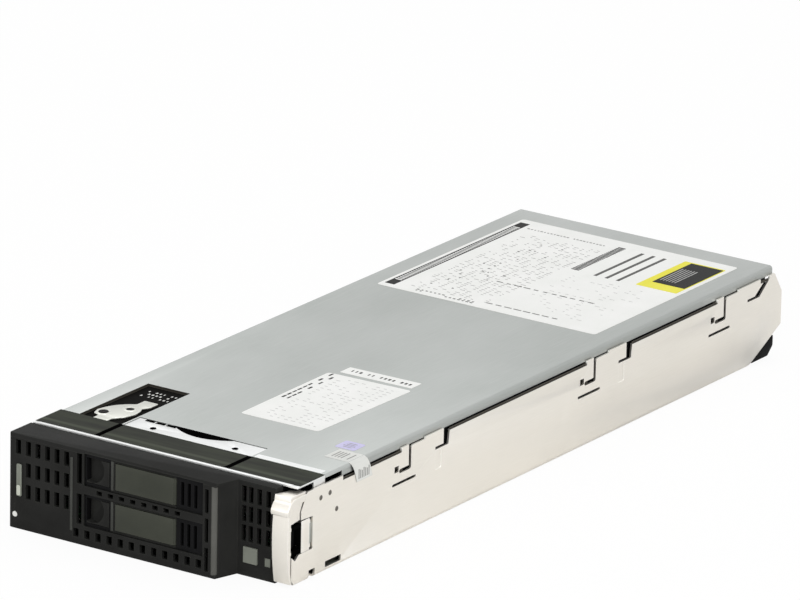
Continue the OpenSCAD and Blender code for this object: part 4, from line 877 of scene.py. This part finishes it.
# Labels on the cover, which lie on it or on one another:
# outline, radius of the corners, labels underneath, material
labelThick = 0.12
labels = {
    "rear": (rectangle(15.0, 336.0, 166.0, 490.0), 2.5, 0, paper),
    "middle": ([(84.1, 101.9), (136.1, 102.5), (138.6, 190.7), (83.4, 188.6)], 2.5, 0, paper),
    "strip": ([(88.0, 193.0), (136.0, 194.0), (136.0, 204.5), (88.0, 203.5)], 0.6, 0, paper),
    "yellow": (rectangle(135.0, 427.0, 163.0, 481.0), 1.0, 1, yellowPaper),
    "black": (rectangle(140.2, 437.0, 162.3, 479.4), 0.2, 2, inkBlack),
    "lilac": (rectangle(157.0, 88.0, 170.0, 100.0), 1.5, 0, lilacPaper),
}
for name, (corners, radius, below, material) in labels.items():
    low = coverTop + labelThick * below
    place(slab(name + "Label", roundedOutline(corners, radius), low, low + labelThick),
          "cover", "zinc_sheet", material)

# The print is generic, made of flat strokes: length along x and width along y
strokeThick = 0.03
strokes = {
    "shortDash": (1.9, 1.3), "thinDash": (3.4, 0.5), "longDash": (5.4, 1.1), "darkDash": (5.6, 1.5),
    "headingDash": (1.5, 4.0), "stripDash": (1.7, 2.6), "lilacDash": (8.0, 0.6), "strapDash": (0.8, 9.0),
    "padDash": (1.35, 1.7), "rung": (5.6, 1.0), "sideRail": (0.9, 126.0), "endBlock": (6.6, 9.0),
    "greyBar": (2.3, 52.0), "blockLine": (0.8, 25.0),
}


def stroke(name):
    length, width = strokes[name]
    shape = bmesh.new()
    bmesh.ops.create_cube(shape, size=1.0)
    bmesh.ops.scale(shape, vec=(length * mm, width * mm, strokeThick * mm), verts=shape.verts)
    return bpy.data.objects.new(name, toMesh(name, shape))


# each print: name, ink, stroke, low and high corners, columns, rows, share of strokes dropped,
# the shortest stroke as a share, seed, labels underneath
prints = (
    ("ladderRungs", inkBlack, "rung", (20.7, 352.0), (20.7, 473.0), 1, 54, 0.0, 1.0, 3, 1),
    ("ladderRails", inkBlack, "sideRail", (17.9, 412.5), (23.5, 412.5), 2, 1, 0.0, 1.0, 3, 1),
    ("ladderEnds", inkBlack, "endBlock", (20.7, 345.5), (20.7, 479.5), 1, 2, 0.0, 1.0, 3, 1),
    ("titleLine", inkGrey, "shortDash", (28.0, 476.5), (81.0, 476.5), 24, 1, 0.1, 0.5, 7, 1),
    ("darkColumn", inkBlack, "darkDash", (92.0, 429.0), (92.0, 479.0), 1, 24, 0.0, 0.9, 5, 1),
    ("greyBars", inkDim, "greyBar", (107.5, 452.0), (123.0, 452.0), 3, 1, 0.0, 1.0, 4, 1),
    ("upperRow", inkDim, "longDash", (70.0, 383.0), (133.0, 382.0), 11, 1, 0.08, 0.5, 9, 1),
    ("lowerRow", inkDim, "longDash", (87.0, 345.0), (132.0, 347.0), 8, 1, 0.0, 0.6, 11, 1),
    ("finePrint", inkGrey, "thinDash", (34.0, 346.0), (84.0, 466.0), 12, 46, 0.38, 0.3, 13, 1),
    ("lowRows", inkDim, "shortDash", (40.0, 340.5), (78.0, 342.5), 14, 2, 0.2, 0.5, 15, 1),
    ("finePrintRight", inkFaint, "thinDash", (98.0, 352.0), (150.0, 418.0), 11, 18, 0.62, 0.3, 17, 1),
    ("sparseMarks", inkDim, "shortDash", (36.0, 350.0), (66.0, 455.0), 9, 18, 0.86, 0.4, 19, 1),
    ("middleHeading", inkBlack, "headingDash", (87.0, 140.0), (90.5, 186.0), 2, 10, 0.3, 0.7, 21, 1),
    ("middleLines", inkFaint, "thinDash", (96.0, 108.0), (130.0, 184.0), 8, 20, 0.35, 0.4, 23, 1),
    ("stripPrint", inkBlack, "stripDash", (93.0, 198.5), (132.0, 199.0), 15, 1, 0.15, 0.5, 27, 1),
    ("yellowLines", inkFaint, "blockLine", (142.2, 455.0), (152.0, 455.0), 6, 1, 0.0, 0.8, 31, 3),
    ("lilacLines", inkGrey, "lilacDash", (163.5, 91.0), (163.5, 97.0), 1, 4, 0.0, 0.6, 33, 1),
)
for name, ink, strokeName, low, high, *grid, below in prints:
    z = coverTop + labelThick * below + strokeThick / 2
    onGrid(name, "cover", "bezel_plastic", stroke(strokeName), ink, (*low, z), (*high, z), *grid)
print("labels and print made")

# Paper strap stuck to the cover and folded down over the right side
strap = {
    "front": 71.0,
    "rear": 86.0,
    "skew": 4.0,     # how far back its lower end drifts
    "thick": 0.12,
    "path": [(162.0, 0.08), (170.0, 0.08), (176.5, 0.08), (178.6, -0.2), (180.0, -1.2), (180.8, -2.8),
             (181.2, -5.0), (181.25, -7.2), (181.25, -9.6), (181.25, -12.0)],     # x, and z over the cover
    "print": ((165.0, 78.5), (175.0, 78.5)),
    "printLift": 0.15,
}
# printed bars on its folded end: how far out from the wall, behind its front edge and below the cover
hatch = {"out": (0.28, 0.34), "bars": 7, "start": 5.5, "pitch": 1.6, "wide": 0.8, "low": 10.6, "high": 5.0,
         "step": 0.6}     # how much lower each bar of three starts


def makeStrap():
    shape = bmesh.new()
    rows = []
    for x, rise in strap["path"]:
        drift = strap["skew"] * max(0.0, rise / strap["path"][-1][1])
        rows.append([shape.verts.new(spot(x, y + drift, coverTop + rise))
                     for y in (strap["front"], strap["rear"])])
    for first, second in zip(rows, rows[1:]):
        shape.faces.new((first[0], second[0], second[1], first[1]))
    piece = toPiece("strapSticker", shape)
    thick = piece.modifiers.new("thick", "SOLIDIFY")
    thick.thickness = strap["thick"] * mm
    thick.offset = 0.0
    settle(piece)
    smoothShade(piece.data, 40)
    place(piece, "cover", "zinc_sheet", greyPaper)


def hatchBar(i):
    near, far = [panHigh.x + out for out in hatch["out"]]
    y = strap["front"] + hatch["start"] + hatch["pitch"] * i
    return ((near, y, coverTop - hatch["low"]),
            (far, y + hatch["wide"], coverTop - hatch["high"] - hatch["step"] * (i % 3)))


makeStrap()
low, high = [(*corner, coverTop + strap["printLift"]) for corner in strap["print"]]
onGrid("strapPrint", "cover", "bezel_plastic", stroke("strapDash"), inkGrey, low, high, 6, 1, 0.2, 1.0, 5)
place(blocks("strapHatch", [hatchBar(i) for i in range(hatch["bars"])]), "cover", "bezel_plastic", inkGrey)
print("strap made")

# Front: black foam gaskets in the gaps of the film
gaskets = {"gaps": ((42.0, 44.4), (129.0, 131.4)), "lap": 0.5, "sunk": 0.15, "proud": 0.04}
place(blocks("filmGaskets", [((x0 - gaskets["lap"], filmLow.y, filmHigh.z - gaskets["sunk"]),
                              (x1 + gaskets["lap"], filmHigh.y, filmHigh.z + gaskets["proud"]))
                             for x0, x1 in gaskets["gaps"]]), "chassis", "film_plastic", blackFoamAndShade)

# Black pads of painted shade along the flap's rear edge for the dark slot there, measured forwards from it
# and down from its top
shadePads = {"spans": ((49.6, 55.4), (56.6, 62.6), (63.8, 70.0)), "front": 2.4, "rear": 0.1,
        "low": 0.3, "high": 0.05}
place(blocks("flapPads", [((x0, deckHigh.y - shadePads["front"], deckHigh.z - shadePads["low"]),
                           (x1, deckHigh.y - shadePads["rear"], deckHigh.z - shadePads["high"]))
                          for x0, x1 in shadePads["spans"]]), "chassis", "zinc_sheet", blackFoamAndShade)

# An upright rib on the bezel and one on the face of each drive
ribs = {
    "bezel": (42.6, 44.2, 7.0, 49.6),     # left, right, low, high
    "bezelProud": 0.45,
    "bezelRoot": 0.2,
    "drive": (69.3, 70.9),     # left and right
    "driveShort": 0.7,     # below the top of the carrier and above its foot
    "driveProud": 0.28,
    "driveRoot": 0.15,
}
left, right, low, high = ribs["bezel"]
rib = blocks("bezelRib", [((left, -ribs["bezelProud"], low), (right, ribs["bezelRoot"], high))])
place(roundCorners(rib, 0.35, 3), "chassis", "trim_plastic", ribPlastic)
for driveBody in ("drive_1", "drive_2"):
    carrierLow, carrierHigh = edges(driveBody + "_carrier")
    left, right = ribs["drive"]
    rib = blocks(driveBody + "Rib", [
        ((left, carrierLow.y - ribs["driveProud"], carrierLow.z + ribs["driveShort"]),
         (right, carrierLow.y + ribs["driveRoot"], carrierHigh.z - ribs["driveShort"]))])
    place(roundCorners(rib, 0.2), driveBody, "drive_plastic", ribPlastic)

# The pale folded hem on the cover's front edge
hem = {"outline": rectangle(132.0, 47.3, 176.4, 52.0), "sunk": 0.05, "proud": 0.14}
hemStrip = slab("coverHem", roundedOutline(hem["outline"], 0.6, 3), coverTop - hem["sunk"],
                coverTop + hem["proud"])
place(roundCorners(hemStrip, 0.06, 1), "cover", "zinc_sheet", flapSheet)

# Painted shade in the flap's crescent: a flat black crescent slab where the opening lies dark; and black
# plugs in its two holes
crescentShade = {"left": 67.5, "right": 109.0, "depth": 8.2, "behind": 0.9, "low": 1.0, "high": 0.18, "bulge": 0.8}
plugs = {
    "head": [(0, 0.06), (1.2, 0.06), (1.75, -0.02), (1.75, -0.3), (0, -0.3)],
    "holes": ((60.6, 52.0), (116.0, 52.0)),
}


# the crescent between the painted shade's straight rear edge and a shallow arc
def crescent(steps=24):
    rear = deckHigh.y + crescentShade["behind"]
    width = crescentShade["right"] - crescentShade["left"]
    arc = []
    for i in range(1, steps):
        depth = crescentShade["depth"] * math.sin(math.pi * i / steps) ** crescentShade["bulge"]
        arc.append((crescentShade["left"] + width * i / steps, rear - depth))
    return [(crescentShade["left"], rear)] + arc + [(crescentShade["right"], rear)]


place(slab("flapScoop", crescent(), deckHigh.z - crescentShade["low"], deckHigh.z - crescentShade["high"]),
      "chassis", "zinc_sheet", blackFoamAndShade)
atPoints("flapPlugs", "chassis", "zinc_sheet", turnedPart("plug", plugs["head"], 20), blackFoamAndShade,
         [(*hole, deckHigh.z) for hole in plugs["holes"]])

# The pull-out tab: a plate with a wider moulded grip at its end and a bright rounded thumb pad
grip = {
    "left": 6.4,
    "right": 9.7,
    "low": 19.4,
    "high": 38.2,
    "proud": 1.0,
    "root": 0.05,
    "padLow": 20.0,
    "padHigh": 26.0,
    "padInset": 0.4,
    "padProud": 1.5,
    "padRoot": 0.1,
    "neckLap": 0.2,     # how far the neck runs into the grip and into the plate
}
tabLow, tabHigh = edges("pull_tab")


def gripOutline(low, high, inset=0.0):
    return roundedOutline(rectangle(grip["left"] + inset, low, grip["right"] - inset, high), 1.1)


softened("pull_tab", "pullTabPlate", "pull_tab", "button_plastic", 0.3)
gripPlate = facePlate("pullTabGrip", gripOutline(grip["low"], grip["high"]), -grip["proud"], -grip["root"])
place(roundCorners(gripPlate, 0.3), "pull_tab", "button_plastic", palePlastic)
thumbPad = facePlate("pullTabPad", gripOutline(grip["padLow"], grip["padHigh"], grip["padInset"]),
                     -grip["padProud"], -grip["proud"] + grip["padRoot"])
place(roundCorners(thumbPad, 0.4, 3), "pull_tab", "button_plastic", palePad)
place(blocks("pullTabNeck", [((tabLow.x, -grip["neckLap"], tabLow.z),
                              (tabHigh.x, tabLow.y + grip["neckLap"], tabHigh.z))]),
      "pull_tab", "button_plastic", ribPlastic)

# The latch: a stamped plate with a broad middle, a nose, a tail and two round bosses
latch = {
    "outline": [(22.4, 47.4), (32.0, 47.4), (32.0, 53.2), (36.6, 59.0), (38.6, 66.0), (37.6, 72.0),
                (35.8, 76.2), (38.4, 80.0), (38.4, 88.0), (29.0, 88.0), (29.0, 80.5), (25.0, 77.6),
                (20.6, 73.0), (17.6, 67.0), (16.2, 61.0), (18.0, 55.0), (22.4, 53.2)],
    "boss": [(2.7, -0.3), (4.5, -0.3), (4.3, 0.12), (3.7, 0.35), (3.1, 0.35), (2.9, 0.1), (2.7, -0.3)],
    "dimple": [(0, -0.2), (2.3, -0.2), (2.3, 0.05), (1.2, 0.12), (0, 0.05)],
    "dimpleAt": (31.0, 71.4),
    "pinHead": [(0, -0.4), (2.5, -0.4), (2.5, 0.02), (2.1, 0.25), (1.0, 0.25), (0.8, 0.05), (0, 0.05)],
}
latchLow, latchHigh = edges("cover_latch")
pinLow, pinHigh = edges("latch_pivot")
pivot = ((pinLow.x + pinHigh.x) / 2, (pinLow.y + pinHigh.y) / 2)
latchPlate = slab("latchPlate", roundedOutline(latch["outline"], 1.0, 3), latchLow.z, latchHigh.z)
roundCorners(latchPlate, 0.25)
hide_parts("cover_latch")
place(latchPlate, "cover_latch", "latch_metal", latchSteel)
bossSpots = [(*pivot, latchHigh.z), (*latch["dimpleAt"], latchHigh.z)]
atPoints("latchBosses", "cover_latch", "latch_metal", turnedPart("bossRing", latch["boss"], 28), latchSteel,
         bossSpots)
atPoints("latchDimple", "cover_latch", "latch_metal", turnedPart("darkDimple", latch["dimple"], 24),
         darkSteel, bossSpots[1:])
atPoints("latchPivotHead", "cover", "bright_steel", turnedPart("pinHead", latch["pinHead"], 24), darkSteel,
         [(*pivot, pinHigh.z)])

# Pale print on the black pad: rows of dashes
padPrint = {"low": (20.0, 97.0), "high": (38.0, 105.0), "columns": 8, "rows": 3}
z = edges("latch_pad")[1].z + strokeThick / 2
onGrid("padPrint", "cover", "black_sheet", stroke("padDash"), greyPaper, (*padPrint["low"], z),
       (*padPrint["high"], z), padPrint["columns"], padPrint["rows"], 0.25, 0.5, 41)

# Black block of painted shade for the dark inside seen under the slanted rear end of the right wall
shadeBlock = {
    "outline": [(483.8, 1.3), (502.0, 1.3), (507.5, 6.5), (507.5, 12.9), (503.6, 11.2)],     # y and z
    "in": 2.1,
    "out": 0.4,
}
shadeBlockBar = crossbar("rearShoe", roundedOutline(shadeBlock["outline"], 0.8, 3), panHigh.x - shadeBlock["in"],
                   panHigh.x - shadeBlock["out"])
place(roundCorners(shadeBlockBar, 0.2), "chassis", "connector_plastic", darkPlastic)
print("front, tab and latch made")
